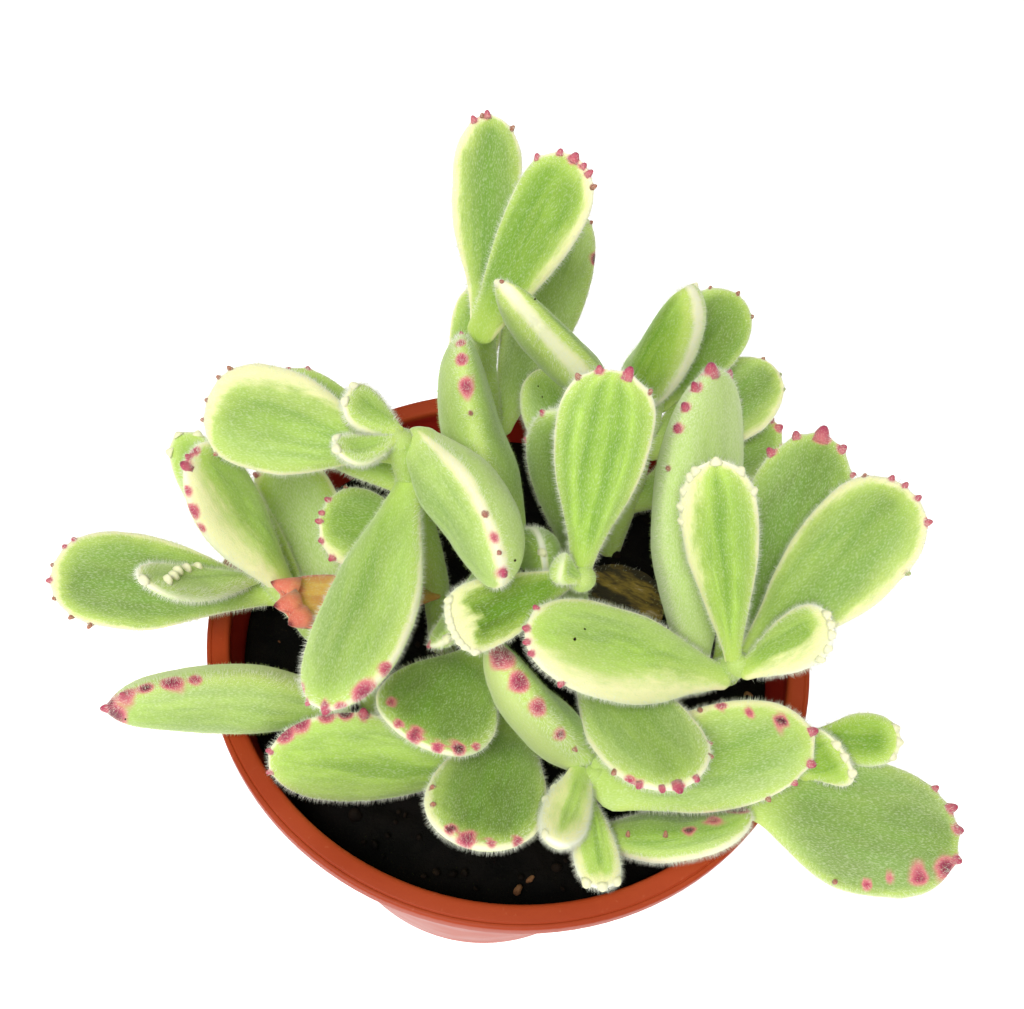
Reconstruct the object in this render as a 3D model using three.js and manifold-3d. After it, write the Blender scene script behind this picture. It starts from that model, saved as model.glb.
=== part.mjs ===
// Bear's paw succulent (Cotyledon tomentosa) in a small nursery pot.
// Millimetres, +Z up, -Y towards the front. The origin is the centre of the pot's underside.

import * as THREE from 'three';
import { mergeVertices } from 'three/addons/utils/BufferGeometryUtils.js';
import Module from 'manifold-3d';

const wasm = await Module();
wasm.setup();

// Driving dimensions of the pot and the soil.
const RIM_RADIUS = 45;
const RIM_HEIGHT = 70;
const BASE_RADIUS = 31;
const WALL = 1.1;
const LIP_WIDTH = 3.2;
const LIP_DROP = 2.4;
const LIP_EDGE = 0.6;
const DRAIN_HOLES = 5;
const DRAIN_RADIUS = 2.5;
const DRAIN_CIRCLE = 21;
const SOIL_DEPTH = 8;
const SOIL_RELIEF = 0.4;
const FIT_GAP = 0.3;

// The plant's places are given as [x, y, height above the pot's rim].
const SOIL_LEVEL = -SOIL_DEPTH;
const ROOT_DEPTH = 16;

// Round pieces: how many sides and steps they are built with.
const POT_SIDES = 48;
const STEM_SIDES = 8;
const STEM_STEPS = 6;
const LEAF_SIDES = 8;
const PLAIN_SHARES = [0, 0.18, 0.4, 0.65, 0.9];
const CLAWS_A_SIDE = 3;

// A stem narrows towards its top.
const STEM_TAPER = 0.25;

// A leaf is thickest before its middle, and its lower face is fuller than its upper one.
const THICKEST = 0.42;
const UPPER_FULLNESS = 0.85;
const LOWER_FULLNESS = 1.15;

const COLOURS = {
  pot: '#a4482f',
  soil: '#17120f',
  stem: '#b7c78a',
  leaf: '#8fae4e',
  oldLeaf: '#b5703c',
  dryLeaf: '#6b5524',
};

// ---------------------------------------------------------------- solids

function toManifold(geometry) {
  const bare = geometry.clone();
  bare.deleteAttribute('normal');
  bare.deleteAttribute('uv');
  const merged = mergeVertices(bare, 1e-4);
  const mesh = new wasm.Mesh({
    numProp: 3,
    vertProperties: new Float32Array(merged.attributes.position.array),
    triVerts: new Uint32Array(merged.index.array),
  });
  return new wasm.Manifold(mesh);
}

function toGeometry(manifold) {
  const mesh = manifold.getMesh();
  const geometry = new THREE.BufferGeometry();
  geometry.setAttribute('position', new THREE.BufferAttribute(new Float32Array(mesh.vertProperties), 3));
  geometry.setIndex(new THREE.BufferAttribute(new Uint32Array(mesh.triVerts), 1));
  geometry.computeVertexNormals();
  return geometry;
}

// Joins rings of points, each turning anticlockwise about the way they advance, into a closed body.
// The first ring is closed by a flat fan and the last one by a fan to the point `end`.
function loftGeometry(rings, end) {
  const sides = rings[0].length;
  const points = rings.flat();
  const start = new THREE.Vector3();
  rings[0].forEach((point) => start.add(point));
  start.divideScalar(sides);
  const startIndex = points.push(start) - 1;
  const endIndex = points.push(end) - 1;
  const lastRing = (rings.length - 1) * sides;
  const faces = [];
  for (let side = 0; side < sides; side += 1) {
    const next = (side + 1) % sides;
    faces.push(startIndex, next, side);
    faces.push(lastRing + side, lastRing + next, endIndex);
    for (let ring = 0; ring < rings.length - 1; ring += 1) {
      const low = ring * sides;
      const high = low + sides;
      faces.push(low + side, low + next, high + next);
      faces.push(low + side, high + next, high + side);
    }
  }
  const geometry = new THREE.BufferGeometry().setFromPoints(points);
  geometry.setIndex(faces);
  return geometry;
}

function inPot([x, y, height]) {
  return new THREE.Vector3(x, y, RIM_HEIGHT + height);
}

// ---------------------------------------------------------------- leaves

const LEAF_DEFAULTS = {
  foot: [0, 0],
  roll: 0,
  sag: 0.8,
  neck: 0.3,
  taper: 1.4,
  widest: 0.62,
  blunt: 2.4,
  claw: 0.9,
  clawedFrom: 0.7,
};

// Axes of a leaf: along its length, across it, and out of its upper face. With no roll the
// upper face looks up, or back to the stem on a leaf that stands steeply.
function leafAxes(leaf) {
  const along = leaf.tip.clone().sub(leaf.base);
  const length = along.length();
  along.normalize();
  const face = new THREE.Vector3(0, 0, 1).addScaledVector(along, -along.z).normalize();
  face.applyAxisAngle(along, THREE.MathUtils.degToRad(leaf.roll));
  const across = new THREE.Vector3().crossVectors(along, face);
  return { along, across, face, length };
}

// Half the leaf's width at t, from 0 at the base to 1 at the tip, as a share of its widest.
function widthShare(t, leaf) {
  if (t < leaf.widest) {
    const share = Math.max(0, t / leaf.widest);
    return leaf.neck + (1 - leaf.neck) * Math.sin((Math.PI / 2) * share) ** leaf.taper;
  }
  return Math.sqrt(Math.max(0, 1 - ((t - leaf.widest) / (1 - leaf.widest)) ** leaf.blunt));
}

function thicknessShare(t) {
  if (t < THICKEST) {
    return 0.5 + 0.5 * Math.sin((Math.PI / 2) * (t / THICKEST));
  }
  return Math.sqrt(Math.max(0, 1 - ((t - THICKEST) / (1 - THICKEST)) ** 2.6));
}

// The rings of a leaf: plain ones up to where its claws start, then by turns one that carries
// a claw on each margin and one in the notch between two claws.
function leafStations(leaf) {
  const plain = PLAIN_SHARES.map((share) => ({ t: share * leaf.clawedFrom, claw: 0 }));
  const clawed = [];
  for (let step = 1; step <= CLAWS_A_SIDE * 2; step += 1) {
    const share = step / (CLAWS_A_SIDE * 2 + 1);
    const t = leaf.clawedFrom + (1 - leaf.clawedFrom) * (1 - (1 - share) ** 1.6);
    clawed.push({ t, claw: step % 2 === 1 ? leaf.claw : 0 });
  }
  return [...plain, ...clawed];
}

// How far a claw of this height moves the margin outwards, across the leaf and along it.
function clawReach(t, claw, leaf, length) {
  const step = 0.01;
  const rise = ((widthShare(t + step, leaf) - widthShare(t - step, leaf)) * leaf.width) / 2;
  const run = 2 * step * length;
  const slope = Math.hypot(rise, run);
  return { across: (claw * run) / slope, along: (-claw * rise) / slope };
}

function leafRing({ t, claw }, leaf, axes) {
  const halfWidth = (leaf.width / 2) * widthShare(t, leaf);
  const halfThickness = (leaf.thickness / 2) * thicknessShare(t);
  const reach = clawReach(t, claw, leaf, axes.length);
  const centre = leaf.base.clone()
    .addScaledVector(axes.along, axes.length * t)
    .addScaledVector(axes.face, -leaf.sag * 4 * t * (1 - t));
  const ring = [];
  for (let side = 0; side < LEAF_SIDES; side += 1) {
    const angle = (2 * Math.PI * side) / LEAF_SIDES;
    const lift = -Math.sin(angle);
    const fullness = lift > 0 ? UPPER_FULLNESS : LOWER_FULLNESS;
    const onMargin = side % (LEAF_SIDES / 2) === 0;
    const point = centre.clone()
      .addScaledVector(axes.across, halfWidth * Math.cos(angle))
      .addScaledVector(axes.face, halfThickness * fullness * lift);
    if (onMargin) {
      point.addScaledVector(axes.across, reach.across * Math.sign(Math.cos(angle)));
      point.addScaledVector(axes.along, reach.along);
    }
    ring.push(point);
  }
  return ring;
}

function leafSolid(spec, stemPoint) {
  const leaf = { ...LEAF_DEFAULTS, ...spec, tip: inPot(spec.tip) };
  leaf.base = stemPoint.clone().add(new THREE.Vector3(...leaf.foot, 0));
  const axes = leafAxes(leaf);
  const rings = leafStations(leaf).map((station) => leafRing(station, leaf, axes));
  const endClaw = leaf.tip.clone().addScaledVector(axes.along, leaf.claw);
  return toManifold(loftGeometry(rings, endClaw));
}

// ---------------------------------------------------------------- stems

function stemCurve(shoot) {
  const [soilX, soilY] = shoot.path[0];
  const rootEnd = [soilX * 0.8, soilY * 0.8, SOIL_LEVEL - ROOT_DEPTH];
  return new THREE.CatmullRomCurve3([rootEnd, ...shoot.path].map(inPot), false, 'centripetal');
}

function stemSolid(shoot, extraRadius) {
  const curve = stemCurve(shoot);
  const rings = [];
  for (let step = 0; step <= STEM_STEPS; step += 1) {
    const share = step / STEM_STEPS;
    const centre = curve.getPointAt(share);
    const along = curve.getTangentAt(share);
    const radius = shoot.radius * (1 - STEM_TAPER * share) + extraRadius;
    const across = new THREE.Vector3(1, 0, 0).addScaledVector(along, -along.x).normalize();
    const third = new THREE.Vector3().crossVectors(along, across);
    const ring = [];
    for (let side = 0; side < STEM_SIDES; side += 1) {
      const angle = (2 * Math.PI * side) / STEM_SIDES;
      ring.push(centre.clone()
        .addScaledVector(across, radius * Math.cos(angle))
        .addScaledVector(third, radius * Math.sin(angle)));
    }
    rings.push(ring);
  }
  const top = curve.getPointAt(1);
  const rounding = curve.getTangentAt(1).multiplyScalar(shoot.radius * 0.6 + extraRadius);
  return toManifold(loftGeometry(rings, top.add(rounding)));
}

// The stem with the buds and very small leaves that have grown together with it.
function stemWithBuds(shoot) {
  const buds = (shoot.buds ?? []).map((bud) => leafSolid(bud, inPot(bud.root)));
  return buds.reduce((stem, bud) => stem.add(bud), stemSolid(shoot, 0));
}

// The stem's point at a height above the rim.
function stemPointAt(shoot, height) {
  const curve = stemCurve(shoot);
  const level = RIM_HEIGHT + height;
  let low = 0;
  let high = 1;
  for (let step = 0; step < 30; step += 1) {
    const middle = (low + high) / 2;
    if (curve.getPointAt(middle).z < level) {
      low = middle;
    } else {
      high = middle;
    }
  }
  return curve.getPointAt(low);
}

// ---------------------------------------------------------------- shoots

const SHOOTS = [
  {
    name: 'back',
    radius: 2.2,
    path: [[-4, 17, SOIL_LEVEL], [-7, 23, 8], [-10, 26, 24], [-10.5, 23, 36]],
    leaves: [
      { name: 'tall_left', at: 35, foot: [-1, 1], tip: [-13.6, 41.3, 55.4], width: 9.2, thickness: 4.6,
        neck: 0.24, taper: 1.8, widest: 0.63, blunt: 3 },
      { name: 'tall_right', at: 36, foot: [-0.2, -1.5], tip: [-2, 31.8, 57.4], width: 10.5,
        thickness: 4.6, roll: 15, neck: 0.4, widest: 0.72, blunt: 2.8 },
      { name: 'rear_right', at: 13, foot: [1.5, 0.8], tip: [-0.2, 47.6, 38], width: 11.5, thickness: 5.4,
        roll: 10 },
      { name: 'rear_left', at: 16, foot: [-4.2, 0.8], tip: [-12.8, 40, 28], width: 8, thickness: 4.6,
        roll: -10 },
    ],
  },
  {
    name: 'middle',
    radius: 2.1,
    path: [[-1, 3, SOIL_LEVEL], [-2, 2.5, 8], [-3.5, 1.5, 19]],
    leaves: [
      { name: 'rear', at: 17, foot: [1, 1], tip: [-13, 18, 38], width: 13.5, thickness: 9, roll: 64 },
      { name: 'small_right', at: 18, foot: [1.2, -0.9], tip: [2.3, -6.2, 24], width: 7, thickness: 6,
        roll: 85, claw: 0.6 },
      { name: 'small_left', at: 16, tip: [-9.8, -18, 20], width: 6, thickness: 4.5, roll: 45 },
    ],
  },
  {
    name: 'rear_centre',
    radius: 2.1,
    path: [[6, 8, SOIL_LEVEL], [8, 13, 8], [9, 21.5, 25]],
    leaves: [
      { name: 'top_left', at: 25, foot: [0.5, 1.5], tip: [-8.6, 18, 48], width: 8.6, thickness: 6,
        roll: 52, widest: 0.5, blunt: 2.2 },
      { name: 'middle_left', at: 12, foot: [1, 1], tip: [-2.6, 29.5, 22], width: 10.6, thickness: 4.6 },
      { name: 'front', at: 2, foot: [0.8, -0.5], tip: [1.4, 13, 32], width: 12, thickness: 7, roll: -80 },
      { name: 'dry', at: -4, tip: [23.4, 7, -4.6], width: 13, thickness: 1.8, claw: 0.3, sag: -1, dry: true },
    ],
  },
  {
    name: 'back_right',
    radius: 2.1,
    path: [[14, 19, SOIL_LEVEL], [16, 26, 4], [16.5, 32, 17]],
    leaves: [
      { name: 'upright', at: 16, foot: [-4.8, -1], tip: [16.9, 33.4, 39], width: 11.5, thickness: 8.8,
        roll: -62, widest: 0.58 },
      { name: 'rear', at: 16, foot: [1, 1], tip: [25.8, 43, 31], width: 12, thickness: 5.5, roll: 30 },
      { name: 'right', at: 10, foot: [1, -1], tip: [36, 40.6, 18.5], width: 13, thickness: 5.5,
        roll: 30 },
      { name: 'low_right', at: 0, tip: [38.5, 36, 10.5], width: 11, thickness: 5.5, roll: 20 },
    ],
  },
  {
    name: 'right',
    radius: 2.3,
    path: [[23, -4, SOIL_LEVEL], [27, -8, 3], [30, -11, 15]],
    leaves: [
      { name: 'tall_back', at: 8, foot: [-2.8, 2.5], tip: [20.2, 17, 40], width: 17, thickness: 10,
        roll: 38, widest: 0.54 },
      { name: 'young_front', at: 15, foot: [-0.9, 0.5], tip: [19.6, -0.1, 42], width: 9.3,
        thickness: 4.5, roll: -40, neck: 0.24, widest: 0.7, claw: 1.3 },
      { name: 'back', at: 6, foot: [2.5, 1], tip: [38.8, 19.5, 28], width: 14, thickness: 6, blunt: 3 },
      { name: 'outer', at: 13, foot: [2.2, 1.2], tip: [46.6, 7.2, 34], width: 14, thickness: 6.5,
        roll: 2, widest: 0.68, blunt: 3 },
      { name: 'inner', at: 12, foot: [-1, -1.4], tip: [1, -17.8, 27], width: 12, thickness: 6.2,
        roll: -18, widest: 0.52, blunt: 3 },
      { name: 'small_outer', at: 15, foot: [0.8, -0.6], tip: [37.6, -10, 27.8], width: 7.6, thickness: 3.5,
        roll: 10, neck: 0.4, claw: 0.5 },
    ],
  },
  {
    name: 'centre',
    radius: 2.2,
    path: [[10, -4, SOIL_LEVEL], [9, -5, 5], [6.8, -5.4, 20], [7, -10, 28]],
    leaves: [
      { name: 'back', at: 27, foot: [-0.3, 1], tip: [6, 4, 50], width: 11.5, thickness: 6, roll: -5,
        neck: 0.24, taper: 1.6, widest: 0.7, blunt: 3 },
      { name: 'left', at: 25, foot: [-1, 0], tip: [-7.8, -18.8, 26.5], width: 8.5, thickness: 4.5,
        roll: -27, widest: 0.72, blunt: 3.4 },
      { name: 'front_low', at: 2.8, foot: [1.2, -1], tip: [22.2, -30.5, 19.2], width: 13.6, thickness: 4.8,
        roll: 6 },
    ],
    buds: [
      { root: [6.4, -10.4, 28], tip: [4, -10.2, 31.5], width: 4, thickness: 3.4, claw: 0.2 },
    ],
  },
  {
    name: 'left_centre',
    radius: 2.3,
    path: [[-10, -3, SOIL_LEVEL], [-13, 0, 10], [-18, 1, 36]],
    leaves: [
      { name: 'top_left', at: 33, foot: [-1, 0], tip: [-42, 1.8, 36], width: 13.5, thickness: 6.3,
        roll: -33, neck: 0.22, taper: 1.8, widest: 0.66, blunt: 3 },
      { name: 'rear_left', at: 25, foot: [-1, 1], tip: [-36.2, 11.4, 32], width: 10, thickness: 5.5,
        roll: -10 },
      { name: 'top_right', at: 34, foot: [2, 1], tip: [-2.6, -16, 33.5], width: 10.6, thickness: 10.2,
        roll: 90, neck: 0.5, widest: 0.5 },
      { name: 'front', at: 28, foot: [0, -1], tip: [-20, -31, 26], width: 13.5, thickness: 7.5,
        roll: 28 },
      { name: 'low_left', at: 14, tip: [-28, -1.5, 20], width: 11, thickness: 5, roll: -25 },
      { name: 'old', at: 6, foot: [0, -1.3], tip: [-29.8, -13.2, 16.1], width: 9.5, thickness: 2.6, widest: 0.7,
        blunt: 3, claw: 1.6, old: true },
    ],
    buds: [
      { root: [-18.3, 1.5, 36.6], tip: [-24.5, 3.2, 40.5], width: 6, thickness: 3.2, claw: 0.3 },
      { root: [-18.3, 0.5, 36.2], tip: [-24.5, -4, 38], width: 5, thickness: 2.8, claw: 0.3 },
    ],
  },
  {
    name: 'left',
    radius: 2.2,
    path: [[-16, -17, SOIL_LEVEL], [-22, -14, 1], [-33, -9, 14]],
    leaves: [
      { name: 'outer', at: 11, foot: [-1.8, 1], tip: [-61, -13.7, 15], width: 12.8, thickness: 6.5,
        roll: -30, neck: 0.24, taper: 1.8, widest: 0.68, blunt: 2.8 },
      { name: 'upright', at: 13, foot: [0.7, 0.5], tip: [-42.3, -3.4, 33.2], width: 11, thickness: 5.5,
        roll: 16 },
      { name: 'behind', at: 6, foot: [-2, 2.5], tip: [-49, 5.5, 23.8], width: 8.8, thickness: 3.8,
        roll: -16 },
      { name: 'small_top', at: 14, foot: [-2.6, 0], tip: [-44.6, -19.4, 28.2], width: 6.4, thickness: 3.2,
        claw: 0.6 },
      { name: 'rear', at: 1, foot: [0.8, 1.8], tip: [-37.6, 11, 16.8], width: 12.4, thickness: 4 },
      { name: 'low_front', at: 1, foot: [0, -5.4], tip: [-48.5, -29.2, 12], width: 10.5, thickness: 9,
        roll: -78, widest: 0.5, blunt: 1.7, claw: 0.6 },
    ],
  },
  {
    name: 'front_left',
    radius: 2.2,
    path: [[-1, -19, SOIL_LEVEL], [-3, -15, 3], [-5, -11, 12]],
    leaves: [
      { name: 'middle', at: 8.8, tip: [-10.8, -28, 13.8], width: 16.2, thickness: 5.6, roll: 2 },
      { name: 'low_left', at: -3.5, foot: [0, -5.5], tip: [-29, -29.3, 5], width: 13.5, thickness: 6,
        roll: -55 },
      { name: 'front', at: 0, foot: [4.4, -1.5], tip: [-2, -38.8, 11], width: 15.2, thickness: 5.4,
        roll: 5, neck: 0.45, widest: 0.6 },
    ],
  },
  {
    name: 'front',
    radius: 2.2,
    path: [[10.5, -24, SOIL_LEVEL], [12.5, -26, 0], [13.6, -25.2, 5.5]],
    leaves: [
      { name: 'rising_left', at: 2.4, foot: [0.6, 3.2], tip: [-2.8, -16, 19.6], width: 11.4, thickness: 7.8,
        roll: 58 },
      { name: 'right', at: 5.5, foot: [2.2, -0.4], tip: [40.2, -18.4, 12.6], width: 13.6, thickness: 5.8,
        roll: 16, neck: 0.6, widest: 0.52 },
      { name: 'low_right', at: -1.8, foot: [3.8, -4.8], tip: [34, -27.6, 5.8], width: 11.4, thickness: 6,
        roll: -52, neck: 0.5, widest: 0.48, claw: 0.6 },
    ],
    buds: [
      { root: [11.3, -25.8, 5.2], tip: [8.3, -37.4, 12.5], width: 6, thickness: 4.4, neck: 0.6, widest: 0.5,
        claw: 0.3 },
      { root: [12.9, -26.6, 1.8], tip: [15.4, -39.2, 4.5], width: 6, thickness: 3.8, widest: 0.7, blunt: 3,
        claw: 0.4 },
    ],
  },
  {
    name: 'front_right',
    radius: 2.1,
    path: [[24, -15, SOIL_LEVEL], [29, -18, -1.5], [35, -19.5, 3], [42, -18.5, 7.5]],
    leaves: [
      { name: 'outer', at: 3, foot: [0.4, -5], tip: [59.9, -28.3, 8], width: 17.2, thickness: 6.4,
        roll: 20, widest: 0.52, blunt: 2.6 },
      { name: 'small_inner', at: 7, foot: [-0.5, -2.5], tip: [43.8, -20.2, 13], width: 8, thickness: 3,
        roll: 25, claw: 0.6 },
      { name: 'small_outer', at: 7.5, foot: [0, 2.4], tip: [51.8, -17, 12.4], width: 7, thickness: 3.2,
        roll: 20, claw: 0.6 },
    ],
  },
];

// ---------------------------------------------------------------- pot and soil

function innerRadiusAt(height) {
  const share = height / (RIM_HEIGHT - LIP_DROP);
  const topRadius = RIM_RADIUS - LIP_WIDTH;
  return BASE_RADIUS - WALL + (topRadius - BASE_RADIUS + WALL) * share;
}

function turnedGeometry(profile) {
  const outline = profile.map(([radius, height]) => new THREE.Vector2(radius, height));
  return new THREE.LatheGeometry(outline, POT_SIDES).rotateX(Math.PI / 2);
}

function potSolid() {
  const lipInside = RIM_RADIUS - LIP_WIDTH;
  const lipBottom = RIM_HEIGHT - LIP_DROP;
  const pot = toManifold(turnedGeometry([
    [0, 0], [BASE_RADIUS, 0],
    [lipInside + WALL, lipBottom], [RIM_RADIUS, lipBottom],
    [RIM_RADIUS, RIM_HEIGHT - LIP_EDGE], [RIM_RADIUS - LIP_EDGE, RIM_HEIGHT],
    [lipInside + LIP_EDGE, RIM_HEIGHT], [lipInside, RIM_HEIGHT - LIP_EDGE],
    [lipInside, lipBottom], [innerRadiusAt(WALL), WALL], [0, WALL],
  ]));
  let drained = pot;
  for (let hole = 0; hole < DRAIN_HOLES; hole += 1) {
    const angle = (2 * Math.PI * hole) / DRAIN_HOLES;
    const drill = new THREE.CylinderGeometry(DRAIN_RADIUS, DRAIN_RADIUS, WALL * 4, 12).rotateX(Math.PI / 2);
    drill.translate(DRAIN_CIRCLE * Math.cos(angle), DRAIN_CIRCLE * Math.sin(angle), 0);
    drained = drained.subtract(toManifold(drill));
  }
  return drained;
}

// The soil's surface is level at the wall and gently uneven inside it.
function soilSolid(stems) {
  const top = RIM_HEIGHT + SOIL_LEVEL;
  const bottom = WALL + FIT_GAP;
  const geometry = turnedGeometry([
    [0, bottom], [innerRadiusAt(bottom) - FIT_GAP, bottom],
    [innerRadiusAt(top) - FIT_GAP, top], [36, top + 0.3], [30, top + 0.6], [23, top + 0.8],
    [15, top + 1], [8, top + 1], [0, top + 1],
  ]);
  const places = geometry.attributes.position;
  for (let index = 0; index < places.count; index += 1) {
    const x = places.getX(index);
    const y = places.getY(index);
    const z = places.getZ(index);
    const bump = Math.sin(x * 0.55 + 1) * Math.cos(y * 0.48 + 2);
    if (z > top + 0.1) {
      places.setZ(index, z + SOIL_RELIEF * bump);
    }
  }
  return stems.reduce((soil, stem) => soil.subtract(stem), toManifold(geometry));
}

// ---------------------------------------------------------------- assembly

const plant = new THREE.Group();

function addPiece(name, solid, colour, roughness) {
  const material = new THREE.MeshStandardMaterial({ color: colour, roughness, metalness: 0 });
  const mesh = new THREE.Mesh(toGeometry(solid), material);
  mesh.name = name;
  plant.add(mesh);
}

function leafColour(spec) {
  if (spec.dry) {
    return COLOURS.dryLeaf;
  }
  return spec.old ? COLOURS.oldLeaf : COLOURS.leaf;
}

addPiece('pot', potSolid(), COLOURS.pot, 0.45);
addPiece('soil', soilSolid(SHOOTS.map((shoot) => stemSolid(shoot, FIT_GAP))), COLOURS.soil, 1);
for (const shoot of SHOOTS) {
  const socket = stemSolid(shoot, FIT_GAP);
  addPiece(`${shoot.name}_stem`, stemWithBuds(shoot), COLOURS.stem, 0.9);
  for (const spec of shoot.leaves) {
    const leaf = leafSolid(spec, stemPointAt(shoot, spec.at)).subtract(socket);
    addPiece(`${shoot.name}_leaf_${spec.name}`, leaf, leafColour(spec), 0.9);
  }
}

export default plant;
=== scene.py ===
"""Looks of a bear's paw succulent in its nursery pot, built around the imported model.

Lengths in this script are millimetres in the model's frame, and metres only where a mesh is made.
Heights of the plant's points are above the pot's rim, as in the model's own source.
"""

import math
from types import SimpleNamespace

import bmesh
import bpy
import numpy as np
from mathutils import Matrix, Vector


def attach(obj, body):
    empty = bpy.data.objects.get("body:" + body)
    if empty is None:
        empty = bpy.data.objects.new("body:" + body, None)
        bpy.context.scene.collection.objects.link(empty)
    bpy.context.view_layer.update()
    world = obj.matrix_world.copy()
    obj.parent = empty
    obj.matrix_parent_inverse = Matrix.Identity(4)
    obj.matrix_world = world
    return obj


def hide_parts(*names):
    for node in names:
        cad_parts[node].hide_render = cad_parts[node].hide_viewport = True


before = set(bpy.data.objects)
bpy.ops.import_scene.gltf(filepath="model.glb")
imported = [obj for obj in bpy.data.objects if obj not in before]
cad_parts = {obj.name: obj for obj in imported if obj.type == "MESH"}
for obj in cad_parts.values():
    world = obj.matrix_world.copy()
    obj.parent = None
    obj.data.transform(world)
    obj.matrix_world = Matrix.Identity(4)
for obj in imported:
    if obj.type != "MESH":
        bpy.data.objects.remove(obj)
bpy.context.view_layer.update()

MM = 0.001
SEED = 7

# Pot, soil and stems, the same sizes as in the model.
RIM_RADIUS = 45
RIM_HEIGHT = 70
BASE_RADIUS = 31
WALL = 1.1
LIP_WIDTH = 3.2
LIP_DROP = 2.4
LIP_ROUND = 0.8
DRAIN_HOLES = 5
DRAIN_RADIUS = 2.5
DRAIN_CIRCLE = 21
SOIL_LEVEL = -8
ROOT_DEPTH = 16
STEM_TAPER = 0.25

# The pot's inner wall is a cone: its radius at the foot, and how far it leans out with the height.
INNER_FOOT = BASE_RADIUS - WALL
WALL_LEAN = (RIM_RADIUS - LIP_WIDTH - INNER_FOOT) / (RIM_HEIGHT - LIP_DROP)

# The thin line round the lip: how far in from the outer edge, and how deep, which is half its width.
GROOVE_INSET = 0.75
GROOVE = 0.16

# The soil stands a little higher away from the wall, and just clear of the wall and the floor.
SOIL_HUMP = 0.9
SOIL_GAP = 0.3

# A leaf is thickest before its middle and blunt at its end, and its lower face is fuller than its
# upper one.
THICKEST = 0.42
END_BLUNTNESS = 2.6
UPPER_FULLNESS = 0.85
LOWER_FULLNESS = 1.15
EDGE_SHARPNESS = 1.2

# How finely the pieces are built, how far a leaf's points are drawn towards its margins, and how
# far its rounded end reaches into the stem, as a share of half its width there.
LEAF_SIDES = 32
STEM_SIDES = 24
CLAW_SIDES = 8
POT_SIDES = 128
SOIL_SIDES = 160
BODY_STEP = 0.8
TIP_STEP = 0.36
MARGIN_PULL = 0.22
BASE_CAP = 0.8
CAP_DEGREES = (82, 64, 42, 20)

# Hairs: three-sided spikes, close together, and longer on the margins than on the faces.
HAIRS_PER_MM2 = 5.5
HAIR_RADIUS = 0.017
FACE_HAIR_LENGTH = 0.42
MARGIN_HAIR_LENGTH = 0.78

# ---------------------------------------------------------------- the plant

# What a leaf has unless its entry says otherwise. First its shape: where it leaves the stem beside
# the stem's middle, how it is rolled about its length in degrees, how far it bows down, and its
# outline, from the width of its neck to how blunt its tip is.
LEAF_DEFAULTS = dict(
    foot=(0, 0), roll=0, sag=0.8, neck=0.3, taper=1.4, widest=0.62, blunt=2.4,
    # The upper face: how many furrows and how deep, and how hollow it is.
    furrows=0, furrow_depth=0.16, cup=0.25,
    # Paint: how wide the cream margin is on the minus side, at the tip and on the plus side, how
    # far it is turned about the leaf, how bright the green is, how frosted, how pale the lower
    # face, and how strong the middle line, the veins, the white rim and the pale edge are. The middle
    # line and the furrows are painted darker, partly as shade; the white rim is the margin's hairs
    # with a painted highlight.
    cream=(0.25, 0.35, 0.25), margin_turn=0, tone=0.45, frost=0.4, under=0.2, midline=0.35,
    veins=0.8, rim=0.5, pale_edge=0.7,
    # Teeth stand on the outline, at degrees from the tip. Marks lie on the upper face, at a share
    # of its width and of its length.
    teeth=(), marks=(), skin="leaf", hair=1.0,
)


def tooth(radius, reach, claw=0, sharp=1, pink=0, dark=0, brown=0):
    """A kind of tooth: the radius, height and sharpness of its claw, how far its stain reaches, and
    how strongly that is pink, dark and brown. Without a claw it is only a stain."""
    return SimpleNamespace(
        radius=radius, reach=reach, claw=claw, sharp=sharp, pink=pink, dark=dark, brown=brown)


TOOTH_KINDS = {
    "p": tooth(0.45, 0.55, claw=0.6, pink=0.9, dark=0.2),
    "P": tooth(0.65, 0.85, claw=0.9, pink=1, dark=0.3),
    "Q": tooth(1.05, 1.2, claw=1.3, pink=1, dark=0.3),
    "T": tooth(1.3, 1.8, claw=2, sharp=1.7, pink=0.75, dark=0.7),
    "o": tooth(0.5, 0.75, pink=0.95, dark=0.25),
    "d": tooth(0.5, 0.95, pink=0.95, dark=1),
    "D": tooth(0.7, 1.25, pink=1, dark=0.6),
    "M": tooth(0.7, 1.9, pink=1, dark=0.8),
    "b": tooth(0.36, 0.5, claw=0.5, pink=0.3, dark=0.55, brown=1),
    "y": tooth(0.4, 1.2, claw=0.4, brown=0.5),
    "w": tooth(0.6, 0.8, claw=0.5, sharp=1.3),
    "c": tooth(0.65, 0.8, claw=0.5),
}


def row(kind, *places):
    """Teeth of one kind at several places."""
    return [(degrees, kind) for degrees in places]


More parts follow.
